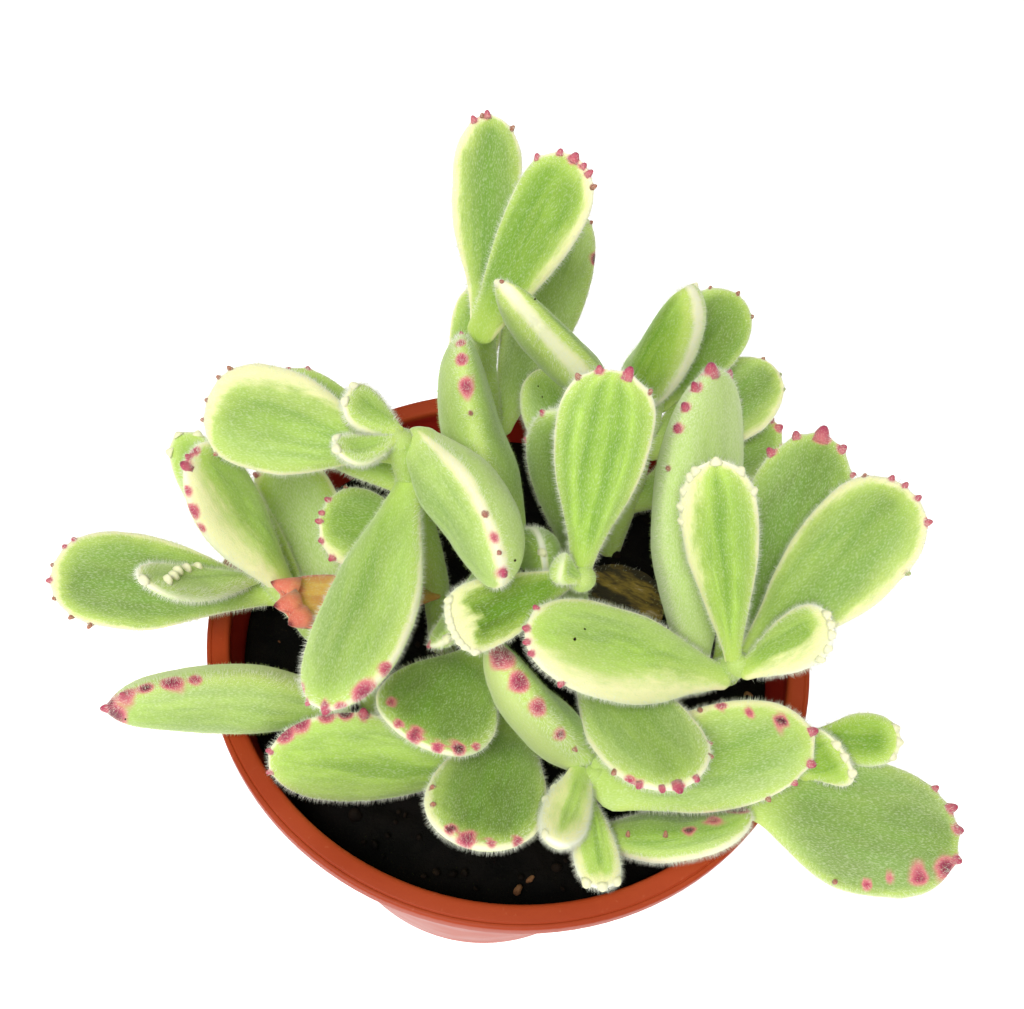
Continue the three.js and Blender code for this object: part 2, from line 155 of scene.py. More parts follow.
# Each shoot's stem, from the soil up, and its leaves, each of which leaves the stem at a height.
# Buds grow from a point of their own and are one with the stem.
SHOOTS = [
    dict(name="back", radius=2.2,
         path=[(-4, 17, SOIL_LEVEL), (-7, 23, 8), (-10, 26, 24), (-10.5, 23, 36)], leaves=[
        dict(name="tall_left", at=35, foot=(-1, 1), tip=(-13.6, 41.3, 55.4), width=9.2, thickness=4.6,
             neck=0.24, taper=1.8, widest=0.63, blunt=3, cream=(1.8, 0.4, 0.6), tone=0.12, furrows=1,
             frost=0.35, teeth=[(-28, "p"), (-14, "b"), (-6, "p"), (38, "b")]),
        dict(name="tall_right", at=36, foot=(-0.2, -1.5), tip=(-2, 31.8, 57.4), width=10.5,
             thickness=4.6, roll=15, neck=0.4, widest=0.72, blunt=2.8, cream=(0.4, 0.7, 1.8),
             tone=0.42, frost=0.1, furrows=2,
             teeth=[(-56, "p"), (-22, "p"), (0, "P"), (17, "p"), (29, "p"), (47, "b")]),
        dict(name="rear_right", at=13, foot=(1.5, 0.8), tip=(-0.2, 47.6, 38), width=11.5, thickness=5.4,
             roll=10, tone=0.5, frost=0.9, cream=(0.1, 0.2, 0.1), teeth=[(25, "b"), (-20, "b"), (60, "d")]),
        dict(name="rear_left", at=16, foot=(-4.2, 0.8), tip=(-12.8, 40, 28), width=8, thickness=4.6,
             roll=-10, tone=0.6, frost=0.3, cream=(1, 1, 0.6)),
    ]),
    dict(name="middle", radius=2.1, path=[(-1, 3, SOIL_LEVEL), (-2, 2.5, 8), (-3.5, 1.5, 19)], leaves=[
        dict(name="rear", at=17, foot=(1, 1), tip=(-13, 18, 38), width=13.5, thickness=9, roll=64,
             tone=0.5, frost=0.3, cream=(0.1, 0.1, 0.1), veins=0.3, rim=0.1,
             teeth=[(8, "p"), (-22, "o"), (-42, "o"), (-66, "D"), (-84, "b")]),
        dict(name="small_right", at=18, foot=(1.2, -0.9), tip=(2.3, -6.2, 24), width=7, thickness=6,
             roll=85, tone=0.2, frost=0.1, cream=(0.3, 0.5, 0.3), under=0, pale_edge=0.3, rim=1,
             teeth=row("w", 26, -25)),
        dict(name="small_left", at=16, tip=(-9.8, -18, 20), width=6, thickness=4.5, roll=45,
             cream=(0.5, 0.6, 0.5), tone=0.6, teeth=[(20, "p"), (-30, "w")]),
    ]),
    dict(name="rear_centre", radius=2.1, path=[(6, 8, SOIL_LEVEL), (8, 13, 8), (9, 21.5, 25)], leaves=[
        dict(name="top_left", at=25, foot=(0.5, 1.5), tip=(-8.6, 18, 48), width=8.6, thickness=6,
             roll=52, margin_turn=-40, widest=0.5, blunt=2.2, cream=(0.75, 0.9, 0.4), tone=0.35,
             frost=0.2, pale_edge=0.9, teeth=[(8, "w"), (-3, "b")]),
        dict(name="middle_left", at=12, foot=(1, 1), tip=(-2.6, 29.5, 22), width=10.6, thickness=4.6,
             frost=0.5),
        dict(name="front", at=2, foot=(0.8, -0.5), tip=(1.4, 13, 32), width=12, thickness=7, roll=-80,
             tone=0.35, cream=(0.1, 0.1, 0.1), teeth=row("p", -70, -25, 20, 60)),
        dict(name="dry", at=-4, tip=(23.4, 7, -4.6), width=13, thickness=1.8, sag=-1, skin="dry", hair=0.1),
    ]),
    dict(name="back_right", radius=2.1, path=[(14, 19, SOIL_LEVEL), (16, 26, 4), (16.5, 32, 17)], leaves=[
        dict(name="upright", at=16, foot=(-4.8, -1), tip=(16.9, 33.4, 39), width=11.5, thickness=8.8,
             roll=-62, margin_turn=80, widest=0.58, tone=0.45, frost=0, cream=(0.3, 0.6, 0.7), pale_edge=1,
             teeth=[(-16, "w")]),
        dict(name="rear", at=16, foot=(1, 1), tip=(25.8, 43, 31), width=12, thickness=5.5, roll=30,
             tone=0.2, frost=0.15, teeth=row("b", -40, 0, 40)),
        dict(name="right", at=10, foot=(1, -1), tip=(36, 40.6, 18.5), width=13, thickness=5.5,
             roll=30, tone=0.25, cream=(0.4, 0.9, 1.8), teeth=[(-30, "b"), (2, "y"), (23, "y")]),
        dict(name="low_right", at=0, tip=(38.5, 36, 10.5), width=11, thickness=5.5, roll=20,
             tone=0.3, teeth=[(-22, "P"), (-4, "P"), (30, "p")]),
    ]),
    dict(name="right", radius=2.3, path=[(23, -4, SOIL_LEVEL), (27, -8, 3), (30, -11, 15)], leaves=[
        dict(name="tall_back", at=8, foot=(-2.8, 2.5), tip=(20.2, 17, 40), width=17, thickness=10,
             roll=38, widest=0.54, tone=0.8, frost=1.4, cream=(0.1, 0.1, 0.1), rim=0.1,
             pale_edge=0.2, veins=0.3,
             teeth=[(-7, "Q"), (23, "P"), (-29, "P"), (-43, "P"), (-55, "P"), (-73, "b"), (44, "p"),
                    (62, "p")]),
        dict(name="young_front", at=15, foot=(-0.9, 0.5), tip=(19.6, -0.1, 42), width=9.3, thickness=4.5,
             roll=-40, neck=0.24, widest=0.7, cream=(2.1, 0.7, 0.9), tone=0.75, frost=0.2, furrows=3,
             teeth=row("w", 2, -30, -40, 39, -58, 66, -74, -86)),
        dict(name="back", at=6, foot=(2.5, 1), tip=(38.8, 19.5, 28), width=14, thickness=6, blunt=3,
             tone=0.12, frost=0.3, cream=(0.2, 0.3, 0.2),
             teeth=[(-58, "P"), (-31, "P"), (-4, "Q"), (23, "P"), (50, "p")]),
        dict(name="outer", at=13, foot=(2.2, 1.2), tip=(46.6, 7.2, 34), width=14, thickness=6.5, roll=2,
             widest=0.68, blunt=3, cream=(1.8, 1.1, 1.8), tone=0.42, frost=0.35,
             teeth=[(-46, "b"), (-19, "p"), (-4, "p"), (14, "p"), (41, "p"), (86, "y")]),
        dict(name="inner", at=12, foot=(-1, -1.4), tip=(1, -17.8, 27), width=12, thickness=6.2,
             roll=-18, widest=0.52, blunt=3, cream=(4, 1, 0.8), tone=0.95, frost=0.6,
             teeth=row("p", 29, 2, -13, -25, -61)),
        dict(name="small_outer", at=15, foot=(0.8, -0.6), tip=(37.6, -10, 27.8), width=7.6, thickness=3.5,
             roll=10, neck=0.4, cream=(0.9, 2.4, 3.2), tone=0.65, frost=0.4, rim=0.9,
             hair=1.4, teeth=row("w", 30, 12, -8, 55, 75)),
    ]),
    dict(name="centre", radius=2.2,
         path=[(10, -4, SOIL_LEVEL), (9, -5, 5), (6.8, -5.4, 20), (7, -10, 28)], leaves=[
        dict(name="back", at=27, foot=(-0.3, 1), tip=(6, 4, 50), width=11.5, thickness=6, roll=-5,
             neck=0.24, taper=1.6, widest=0.7, blunt=3, cream=(0.5, 0.5, 0.9), tone=0.85, frost=0.2,
             furrows=4, teeth=[(-42, "b"), (-16, "p"), (17, "P"), (50, "b")]),
        dict(name="left", at=25, foot=(-1, 0), tip=(-7.8, -18.8, 26.5), width=8.5, thickness=4.5,
             roll=-27, widest=0.72, blunt=3.4, cream=(1.1, 4.6, 1.6), tone=0.08, frost=0, hair=1.3,
             teeth=row("w", 47, 34, 24, 12, 2, -13, -25, -38, -60)),
        dict(name="front_low", at=2.8, foot=(1.2, -1), tip=(22.2, -30.5, 19.2), width=13.6, thickness=4.8,
             roll=6, cream=(0.6, 0.9, 0.6), tone=0.4, frost=0.5,
             teeth=[(68, "b"), (53, "o"), (44, "p"), (23, "p"), (8, "P"), (-13, "p"), (-46, "b"),
                    (-61, "b")]),
    ],
         buds=[dict(root=(6.4, -10.4, 28), tip=(4, -10.2, 31.5), width=4, thickness=3.4, tone=0.9,
                   cream=(0.1, 0.1, 0.1), pale_edge=0.9)]),
    dict(name="left_centre", radius=2.3, path=[(-10, -3, SOIL_LEVEL), (-13, 0, 10), (-18, 1, 36)], leaves=[
        dict(name="top_left", at=33, foot=(-1, 0), tip=(-42, 1.8, 36), width=13.5, thickness=6.3,
             roll=-33, neck=0.22, taper=1.8, widest=0.66, blunt=3, cream=(1, 2.4, 3.6), tone=0.5, frost=0.4,
             teeth=row("b", 44, 29, 2, -19, -58)),
        dict(name="rear_left", at=25, foot=(-1, 1), tip=(-36.2, 11.4, 32), width=10, thickness=5.5,
             roll=-10, tone=0.6, teeth=row("p", -1, -13, 20, 45)),
        dict(name="top_right", at=34, foot=(2, 1), tip=(-2.6, -16, 33.5), width=10.6, thickness=10.2,
             roll=90, neck=0.5, widest=0.5, cream=(0.9, 0.9, 0.5), tone=0.55, frost=0.5,
             pale_edge=0.5, teeth=[(-70, "b"), (-52, "o"), (-40, "b"), (-19, "P"), (35, "b")]),
        dict(name="front", at=28, foot=(0, -1), tip=(-20, -31, 26), width=13.5, thickness=7.5, roll=28,
             cream=(0.6, 0.5, 0.2), tone=0.62, frost=0.5,
             teeth=[(38, "o"), (23, "p"), (-1, "P"), (-16, "o"), (-40, "D"), (-61, "o")]),
        dict(name="low_left", at=14, tip=(-28, -1.5, 20), width=11, thickness=5, roll=-25, tone=0.25,
             cream=(1.8, 0.3, 0.2),
             teeth=[(26, "p"), (5, "p"), (-7, "p"), (-34, "p"), (-64, "p"), (59, "b")]),
        dict(name="old", at=6, foot=(0, -1.3), tip=(-29.8, -13.2, 16.1), width=9.5, thickness=2.6,
             widest=0.7, blunt=3, skin="old", cream=(0.8, 0.6, 0.8), frost=0.1, hair=0.4,
             teeth=row("T", 35, -1, -31)),
    ],
         buds=[
        dict(root=(-18.3, 1.5, 36.6), tip=(-24.5, 3.2, 40.5), width=6, thickness=3.2, tone=0.75,
             hair=3, cream=(0.5, 0.8, 0.5), teeth=row("c", -30, 20)),
        dict(root=(-18.3, 0.5, 36.2), tip=(-24.5, -4, 38), width=5, thickness=2.8, tone=0.7,
             hair=3, cream=(0.5, 0.8, 0.5), teeth=row("c", 0, 50)),
    ]),
    dict(name="left", radius=2.2, path=[(-16, -17, SOIL_LEVEL), (-22, -14, 1), (-33, -9, 14)], leaves=[
        dict(name="outer", at=11, foot=(-1.8, 1), tip=(-61, -13.7, 15), width=12.8, thickness=6.5,
             roll=-30, neck=0.24, taper=1.8, widest=0.68, blunt=2.8, cream=(1, 1.8, 1), tone=0.1, frost=0.3,
             teeth=[(47, "p"), (35, "p"), (11, "b"), (-7, "p"), (-28, "b"), (-55, "b"), (-73, "b")]),
        dict(name="upright", at=13, foot=(0.7, 0.5), tip=(-42.3, -3.4, 33.2), width=11, thickness=5.5,
             roll=16, cream=(4.6, 1, 1.2), tone=1, frost=0.5,
             teeth=[(-4, "o"), (-16, "p"), (-27, "P"), (-53, "o"), (-73, "o"), (-87, "o")]),
        dict(name="behind", at=6, foot=(-2, 2.5), tip=(-49, 5.5, 23.8), width=8.8, thickness=3.8,
             roll=-16, tone=0.5, teeth=row("w", -30, 0, 30)),
        dict(name="small_top", at=14, foot=(-2.6, 0), tip=(-44.6, -19.4, 28.2), width=6.4,
             thickness=3.2, cream=(0.3, 0.8, 0.6), tone=0.7, frost=0.9, hair=1.5,
             teeth=[(-11, "c")],
             marks=[(-0.35, 0.83, "c"), (-0.05, 0.75, "c"), (0.25, 0.68, "c"), (0.45, 0.58, "c"),
                    (0.65, 0.46, "c")]),
        dict(name="rear", at=1, foot=(0.8, 1.8), tip=(-37.6, 11, 16.8), width=12.4, thickness=4,
             tone=1, frost=3, cream=(1, 1, 1), midline=0, veins=0.1, pale_edge=1,
             teeth=row("p", -40, 0)),
        dict(name="low_front", at=1, foot=(0, -5.4), tip=(-48.5, -29.2, 12), width=10.5, thickness=9,
             roll=-78, widest=0.5, blunt=1.7, tone=0.65, frost=0.6, under=0.6, cream=(0.1, 0.1, 0.1),
             rim=0.1, teeth=[(-1, "P"), (24, "p"), (-4, "M"), (8, "d"), (24, "D"), (40, "d"),
                             (53, "D"), (65, "o")]),
    ]),
    dict(name="front_left", radius=2.2, path=[(-1, -19, SOIL_LEVEL), (-3, -15, 3), (-5, -11, 12)], leaves=[
        dict(name="middle", at=8.8, tip=(-10.8, -28, 13.8), width=16.2, thickness=5.6, roll=2,
             tone=0.08, frost=0.2, cream=(0.3, 0.5, 0.4),
             marks=[(0.7, 0.83, "o"), (0.55, 0.95, "o"), (-0.05, 0.96, "D"), (-0.75, 0.95, "o"),
                    (-0.85, 0.87, "d"), (-0.92, 0.77, "o")]),
        dict(name="low_left", at=-3.5, foot=(0, -5.5), tip=(-29, -29.3, 5), width=13.5, thickness=6,
             roll=-55, cream=(0.4, 0.5, 0.4), tone=1, under=0.5,
             teeth=[(29, "D"), (47, "D"), (68, "D"), (80, "d"), (90, "P"), (-22, "p"), (5, "p")]),
        dict(name="front", at=0, foot=(4.4, -1.5), tip=(-2, -38.8, 11), width=15.2, thickness=5.4,
             roll=5, neck=0.45, widest=0.6, cream=(0.6, 1.1, 1.5), tone=0.1, frost=0.25,
             marks=[(0.9, 0.68, "b"), (0.85, 0.81, "b"), (0.6, 0.94, "d"), (0.05, 0.96, "D"),
                    (-0.65, 0.95, "o"), (-0.92, 0.87, "o")]),
    ]),
    dict(name="front", radius=2.2,
         path=[(10.5, -24, SOIL_LEVEL), (12.5, -26, 0), (13.6, -25.2, 5.5)], leaves=[
        dict(name="rising_left", at=2.4, foot=(0.6, 3.2), tip=(-2.8, -16, 19.6), width=11.4,
             thickness=7.8, roll=58, cream=(0.1, 0.1, 0.1), tone=0.6, frost=0.3, under=0.7,
             rim=0.1, teeth=[(-24, "M"), (-58, "D"), (-85, "D"), (-115, "d"), (-139, "b")]),
        dict(name="right", at=5.5, foot=(2.2, -0.4), tip=(40.2, -18.4, 12.6), width=13.6, thickness=5.8,
             roll=16, neck=0.6, widest=0.52, cream=(1.8, 1, 0.5), tone=0.45, frost=0.6,
             teeth=[(-4, "P"), (29, "P"), (50, "p"), (71, "b")],
             marks=[(-0.92, 0.5, "b"), (-0.92, 0.61, "o"), (-0.75, 0.73, "o"), (-0.5, 0.87, "d")]),
        dict(name="low_right", at=-1.8, foot=(3.8, -4.8), tip=(34, -27.6, 5.8), width=11.4,
             thickness=6, roll=-52, margin_turn=45, neck=0.5, widest=0.48, cream=(0.2, 0.6, 0.9),
             tone=0.5, under=0.9,
             marks=[(-0.2, 0.9, "M"), (0.45, 0.76, "D"), (0.72, 0.6, "d"), (0.8, 0.45, "b"),
                    (0.75, 0.2, "b")]),
    ],
         buds=[
        dict(root=(11.3, -25.8, 5.2), tip=(8.3, -37.4, 12.5), width=6, thickness=4.4, neck=0.6,
             widest=0.5, cream=(2.2, 2.6, 3.4), tone=1, frost=0.8, rim=1, hair=2.2,
             teeth=row("c", 101, 133, 30)),
        dict(root=(12.9, -26.6, 1.8), tip=(15.4, -39.2, 4.5), width=6, thickness=3.8, widest=0.7,
             blunt=3, cream=(1.4, 2.8, 1.4), tone=1, frost=0.5, rim=1, hair=2.2,
             teeth=row("c", -40, 0, 40)),
    ]),
    dict(name="front_right", radius=2.1,
         path=[(24, -15, SOIL_LEVEL), (29, -18, -1.5), (35, -19.5, 3), (42, -18.5, 7.5)], leaves=[
        dict(name="outer", at=3, foot=(0.4, -5), tip=(59.9, -28.3, 8), width=17.2, thickness=6.4,
             roll=20, widest=0.52, blunt=2.6, cream=(0.2, 0.2, 0.3), tone=0.05, frost=0.45,
             teeth=[(-49, "p"), (-31, "P"), (-13, "P"), (11, "P")],
             marks=[(0.92, 0.44, "b"), (0.85, 0.59, "o"), (0.75, 0.69, "o"), (0.65, 0.83, "D"),
                    (0.62, 0.94, "M")]),
        dict(name="small_inner", at=7, foot=(-0.5, -2.5), tip=(43.8, -20.2, 13), width=8, thickness=3,
             roll=25, cream=(0.4, 0.7, 0.8), tone=0.6, frost=0, hair=1.3,
             teeth=row("w", -15, 10, 45)),
        dict(name="small_outer", at=7.5, foot=(0, 2.4), tip=(51.8, -17, 12.4), width=7, thickness=3.2,
             roll=20, cream=(0.2, 0.9, 0.3), tone=0.4, frost=0, hair=1.3,
             teeth=row("w", -25, 5, 40)),
    ]),
]

# ---------------------------------------------------------------- small tools


def smooth(low, high, value):
    """0 below low, 1 above high, and an even curve between them."""
    share = np.clip((value - low) / (high - low), 0, 1)
    return share * share * (3 - 2 * share)


def unit(vector):
    return vector / np.linalg.norm(vector)


def unit_rows(vectors):
    return vectors / np.maximum(np.linalg.norm(vectors, axis=1, keepdims=True), 1e-9)


def lattice(corner, seed):
    """A fixed number from -1 to 1 for each whole-numbered corner of space, by a common hash."""
    x, y, z = corner.T
    mixed = (x * 73856093) ^ (y * 19349663) ^ (z * 83492791) ^ (seed * 2654435761)
    mixed = (mixed ^ (mixed >> 13)) * 1274126177
    mixed = (mixed ^ (mixed >> 16)) & 0x7FFFFFFF
    return mixed / 0x3FFFFFFF - 1


def noise(points, size, seed):
    """Smooth noise from -1 to 1, with lumps about `size` apart."""
    cells = np.asarray(points, float) / size + 100
    corner = np.floor(cells).astype(np.int64)
    share = cells - corner
    share = share * share * (3 - 2 * share)
    total = np.zeros(len(cells))
    for step in np.ndindex(2, 2, 2):
        weight = np.prod(np.where(step, share, 1 - share), axis=1)
        total += weight * lattice(corner + step, seed)
    return total


def in_pot(point):
    """A point of the plant in the model's frame."""
    return np.array([point[0], point[1], RIM_HEIGHT + point[2]], float)


def link(obj):
    bpy.context.scene.collection.objects.link(obj)
    return obj


def mesh_object(name, points, faces, material, smooth_shaded=True):
    mesh = bpy.data.meshes.new(name)
    mesh.from_pydata((np.asarray(points) * MM).tolist(), [], faces)
    mesh.materials.append(material)
    mesh.polygons.foreach_set("use_smooth", np.full(len(mesh.polygons), smooth_shaded))
    mesh.update()
    return link(bpy.data.objects.new(name, mesh))


def add_attribute(obj, name, kind, values):
    """Gives each of the mesh's points a value for its material to read."""
    attribute = obj.data.attributes.new(name, kind, "POINT")
    field = {"FLOAT_COLOR": "color", "FLOAT_VECTOR": "vector", "FLOAT": "value"}[kind]
    attribute.data.foreach_set(field, np.asarray(values, np.float32).ravel())


def merged(parts):
    """Several pairs of points and triangles as one pair."""
    starts = np.cumsum([0] + [len(points) for points, _ in parts])
    points = np.concatenate([points for points, _ in parts])
    faces = np.concatenate([faces + start for (_, faces), start in zip(parts, starts)])
    return points, faces.tolist()


def ring_faces(rings, sides):
    """Quads between successive rings of points."""
    faces = []
    for ring in range(rings - 1):
        low = ring * sides
        for side in range(sides):
            after = (side + 1) % sides
            faces.append((low + side, low + after, low + sides + after, low + sides + side))
    return faces


def closed_tube_faces(rings, sides):
    """The quads of a tube, with a fan to the point after the last ring and one to the point after that."""
    faces = ring_faces(rings, sides)
    start = rings * sides
    last = (rings - 1) * sides
    for side in range(sides):
        after = (side + 1) % sides
        faces.append((start, after, side))
        faces.append((last + side, last + after, start + 1))
    return faces


# ---------------------------------------------------------------- materials


def srgb(red, green, blue):
    """A colour of 0 to 255 as a linear RGBA value."""
    shares = [value / 255 for value in (red, green, blue)]
    linear = [((s + 0.055) / 1.055) ** 2.4 if s > 0.04045 else s / 12.92 for s in shares]
    return (*linear, 1)


# The colour sockets of a Mix node, among those that it has for other kinds of value.
MIX_FIRST, MIX_SECOND, MIX_RESULT = 6, 7, 2


class Shader:
    """A material's node tree, with short calls for the nodes used here."""

    def __init__(self, name):
        self.material = bpy.data.materials.new(name)
        self.material.use_nodes = True
        self.tree = self.material.node_tree

    def put(self, socket, value):
        """Links another node's output to a socket, or sets it to a fixed value."""
        if isinstance(value, bpy.types.NodeSocket):
            self.tree.links.new(value, socket)
        else:
            socket.default_value = value

    def node(self, kind, inputs=None, **settings):
        """Adds a node, with fixed values or other nodes' outputs for its inputs."""
        made = self.tree.nodes.new("ShaderNode" + kind)
        for key, value in settings.items():
            setattr(made, key, value)
        for key, value in (inputs or {}).items():
            self.put(made.inputs[key], value)
        return made

    def place(self):
        """A point's place in the model's frame, in metres."""
        return self.node("TexCoord").outputs["Object"]

    def attribute(self, name, output):
        return self.node("Attribute", attribute_name=name).outputs[output]

    def channels(self, name):
        """The red, green, blue and alpha of a colour that the mesh carries."""
        colour = self.node("Attribute", attribute_name=name)
        split = self.node("SeparateColor", {"Color": colour.outputs["Color"]})
        return (*split.outputs, colour.outputs["Alpha"])

    def noise(self, vector, scale, detail=3, roughness=0.55):
        inputs = {"Vector": vector, "Scale": scale, "Detail": detail, "Roughness": roughness}
        return self.node("TexNoise", inputs).outputs["Fac"]

    def math(self, operation, first, second, clamp=False):
        made = self.node("Math", {0: first, 1: second}, operation=operation, use_clamp=clamp)
        return made.outputs["Value"]

    def spread(self, value, low, high, start=0.0, end=1.0):
        """Start below low, end above high, and an even curve between them."""
        inputs = {"Value": value, "From Min": low, "From Max": high, "To Min": start, "To Max": end}
        return self.node("MapRange", inputs, interpolation_type="SMOOTHSTEP").outputs["Result"]

    def mix(self, share, first, second):
        inputs = {"Factor": share, MIX_FIRST: first, MIX_SECOND: second}
        return self.node("Mix", inputs, data_type="RGBA").outputs[MIX_RESULT]

    def bump(self, height, strength, distance, **below):
        """A normal that is bent by a height, over another bump's Normal where that is given."""
        inputs = {"Height": height, "Strength": strength, "Distance": distance, **below}
        return self.node("Bump", inputs).outputs["Normal"]

    def surface(self, **values):
        """The finished material. In the names of the surface's sockets _ stands for a space."""
        surface = self.tree.nodes["Principled BSDF"]
        for key, value in values.items():
            self.put(surface.inputs[key.replace("_", " ")], value)
        return self.material


LEAF_COLOURS = dict(
    deep=srgb(98, 130, 32), bright=srgb(184, 222, 86), vein=srgb(104, 152, 24), base=srgb(184, 212, 90),
    under=srgb(220, 232, 146), bloom=srgb(212, 230, 162), lime=srgb(206, 228, 112), cream=srgb(252, 249, 188),
    rim=srgb(254, 255, 234), blush=srgb(222, 132, 132), pink=srgb(184, 56, 94), dark=srgb(86, 28, 44),
    brown=srgb(148, 98, 56),
)
OLD_COLOURS = dict(
    deep=srgb(236, 168, 92), bright=srgb(248, 216, 96), vein=srgb(210, 120, 66), base=srgb(142, 144, 56),
    under=srgb(228, 190, 110), bloom=srgb(222, 160, 128), lime=srgb(232, 156, 84), cream=srgb(224, 112, 84),
    rim=srgb(220, 110, 90), blush=srgb(232, 128, 98), pink=srgb(204, 84, 78), dark=srgb(112, 32, 36),
    brown=srgb(150, 80, 40),
)


def skin_material(name, colours):
    """Living skin: green with cream margins, furrows, tooth marks and a bloom of fine light specks,
    with painted shade in the furrows and a painted highlight along the rim. The masks and the
    grain's direction come from the mesh, and noise breaks up their edges."""
    shader = Shader(name)
    grain = shader.attribute("grain", "Vector")
    cream, base, midline_and_furrow_shade, tone = shader.channels("mask_green")
    pink, dark, brown, frost = shader.channels("mask_marks")
    veined, rim, under, lime = shader.channels("mask_face")

    blotches = shader.noise(grain, 0.28, 3)
    streaks = shader.noise(grain, 1.1, 4, 0.6)
    specks = shader.noise(grain, 8, 2, 0.5)
    veins = shader.noise(shader.attribute("run", "Vector"), 1.5, 2, 0.5)

    tone_here = shader.math("ADD", tone, shader.spread(blotches, 0.2, 0.8, -0.22, 0.22), clamp=True)
    colour = shader.mix(tone_here, colours["deep"], colours["bright"])
    colour = shader.mix(shader.spread(streaks, 0.3, 0.7, 0, 0.3), colour, colours["vein"])
    furrow = shader.math("MULTIPLY", veined, shader.spread(veins, 0.46, 0.66, 0, 0.75))
    colour = shader.mix(furrow, colour, colours["vein"])
    # Painted shade, partly: darker green in the furrows and along the hollow middle line, over the leaf's own
    # veining.
    colour = shader.mix(shader.math("MULTIPLY", midline_and_furrow_shade, 0.7), colour, colours["vein"])
    colour = shader.mix(shader.math("MULTIPLY", base, 0.8), colour, colours["base"])
    colour = shader.mix(under, colour, colours["under"])

    frosted = shader.math("MULTIPLY", frost, shader.spread(specks, 0.3, 0.7, 0.5, 0.9), clamp=True)
    colour = shader.mix(frosted, colour, colours["bloom"])

    def broken(mask, low, high, amount=0.5):
        ragged = shader.spread(streaks, 0.15, 0.85, -amount / 2, amount / 2)
        return shader.spread(shader.math("ADD", mask, ragged), low, high)

    edge = shader.math("MULTIPLY", broken(lime, 0.1, 1.0, 0.3), 0.85)
    colour = shader.mix(edge, colour, colours["lime"])
    colour = shader.mix(broken(cream, 0.3, 1.0, 0.35), colour, colours["cream"])
    # Painted highlight: a near-white rim along the outline, over the margin's own white hairs.
    colour = shader.mix(rim, colour, colours["rim"])
    colour = shader.mix(broken(brown, 0.4, 0.8), colour, colours["brown"])
    colour = shader.mix(broken(pink, 0.05, 0.6, 0.1), colour, colours["blush"])
    colour = shader.mix(broken(pink, 0.35, 1.0, 0.12), colour, colours["pink"])
    colour = shader.mix(broken(dark, 0.25, 1.0, 0.15), colour, colours["dark"])

    dots = shader.spread(specks, 0.48, 0.72, 0, 0.2)
    colour = shader.mix(dots, colour, srgb(246, 250, 226))

    normal = shader.bump(specks, 0.4, 0.00018)
    normal = shader.bump(streaks, 0.2, 0.0004, Normal=normal)
    return shader.surface(
        Base_Color=colour, Normal=normal, Roughness=0.6, Specular_IOR_Level=0.3,
        Subsurface_Weight=0.18, Subsurface_Scale=0.0015, Subsurface_Radius=(0.8, 1.0, 0.35),
        Sheen_Weight=0.4, Sheen_Roughness=0.4, Sheen_Tint=(0.97, 1, 0.88, 1),
    )


def dry_material():
    shader = Shader("dry_leaf")
    grain = shader.attribute("grain", "Vector")
    patches = shader.noise(grain, 0.34, 4, 0.65)
    veins = shader.noise(grain, 1.6, 4, 0.6)
    colour = shader.mix(shader.spread(patches, 0.4, 0.62), srgb(48, 40, 12), srgb(146, 122, 44))
    colour = shader.mix(shader.spread(patches, 0.6, 0.72), colour, srgb(206, 184, 150))
    colour = shader.mix(shader.spread(veins, 0.5, 0.7, 0, 0.7), colour, srgb(26, 18, 8))
    normal = shader.bump(veins, 0.7, 0.0006)
    return shader.surface(Base_Color=colour, Normal=normal, Roughness=0.8)


def hair_material():
    shader = Shader("leaf_hairs")
    paleness = shader.attribute("paleness", "Fac")
    colour = shader.mix(paleness, srgb(204, 228, 146), srgb(250, 253, 232))
    return shader.surface(Base_Color=colour, Roughness=0.6, Specular_IOR_Level=0.3)


def inner_wall_shade(shader, place):
    """1 on the pot's inner wall above the soil, where the wall is painted a darker red as shade. A place's
    distance from the axis, less the wall's lean, is the same all the way up it."""
    height = shader.node("SeparateXYZ", {"Vector": place}).outputs["Z"]
    flat = shader.node("VectorMath", {0: place, 1: (1, 1, 0)}, operation="MULTIPLY").outputs["Vector"]
    radius = shader.node("VectorMath", {0: flat}, operation="LENGTH").outputs["Value"]
    upright = shader.math("SUBTRACT", radius, shader.math("MULTIPLY", height, WALL_LEAN))
    inner = shader.spread(upright, INNER_FOOT * MM, (INNER_FOOT + WALL / 2) * MM, 1, 0)
    below_lip = shader.spread(height, (RIM_HEIGHT - 1.5) * MM, (RIM_HEIGHT - 0.5) * MM, 1, 0)
    above_floor = shader.spread(height, (RIM_HEIGHT - 25) * MM, (RIM_HEIGHT - 15) * MM)
    return shader.math("MULTIPLY", shader.math("MULTIPLY", inner, below_lip), above_floor)


def pot_material():
    shader = Shader("terracotta_plastic")
    place = shader.place()
    clouds = shader.noise(place, 60, 3)
    grit = shader.noise(place, 900, 3, 0.6)
    colour = shader.mix(shader.spread(clouds, 0.3, 0.7), srgb(156, 56, 24), srgb(170, 66, 32))
    colour = shader.mix(shader.spread(grit, 0.62, 0.75, 0, 0.2), colour, srgb(206, 120, 84))
    scuffs = shader.spread(shader.noise(place, 160, 5, 0.7), 0.66, 0.8, 0, 0.3)
    colour = shader.mix(scuffs, colour, srgb(112, 38, 20))
    # Painted shade: the inner wall above the soil is darker and redder than the rest of the pot.
    colour = shader.mix(inner_wall_shade(shader, place), colour, srgb(158, 34, 26))
    roughness = shader.spread(clouds, 0.3, 0.7, 0.36, 0.5)
    normal = shader.bump(grit, 0.15, 0.0002)
    return shader.surface(Base_Color=colour, Roughness=roughness, Normal=normal, Specular_IOR_Level=0.2)


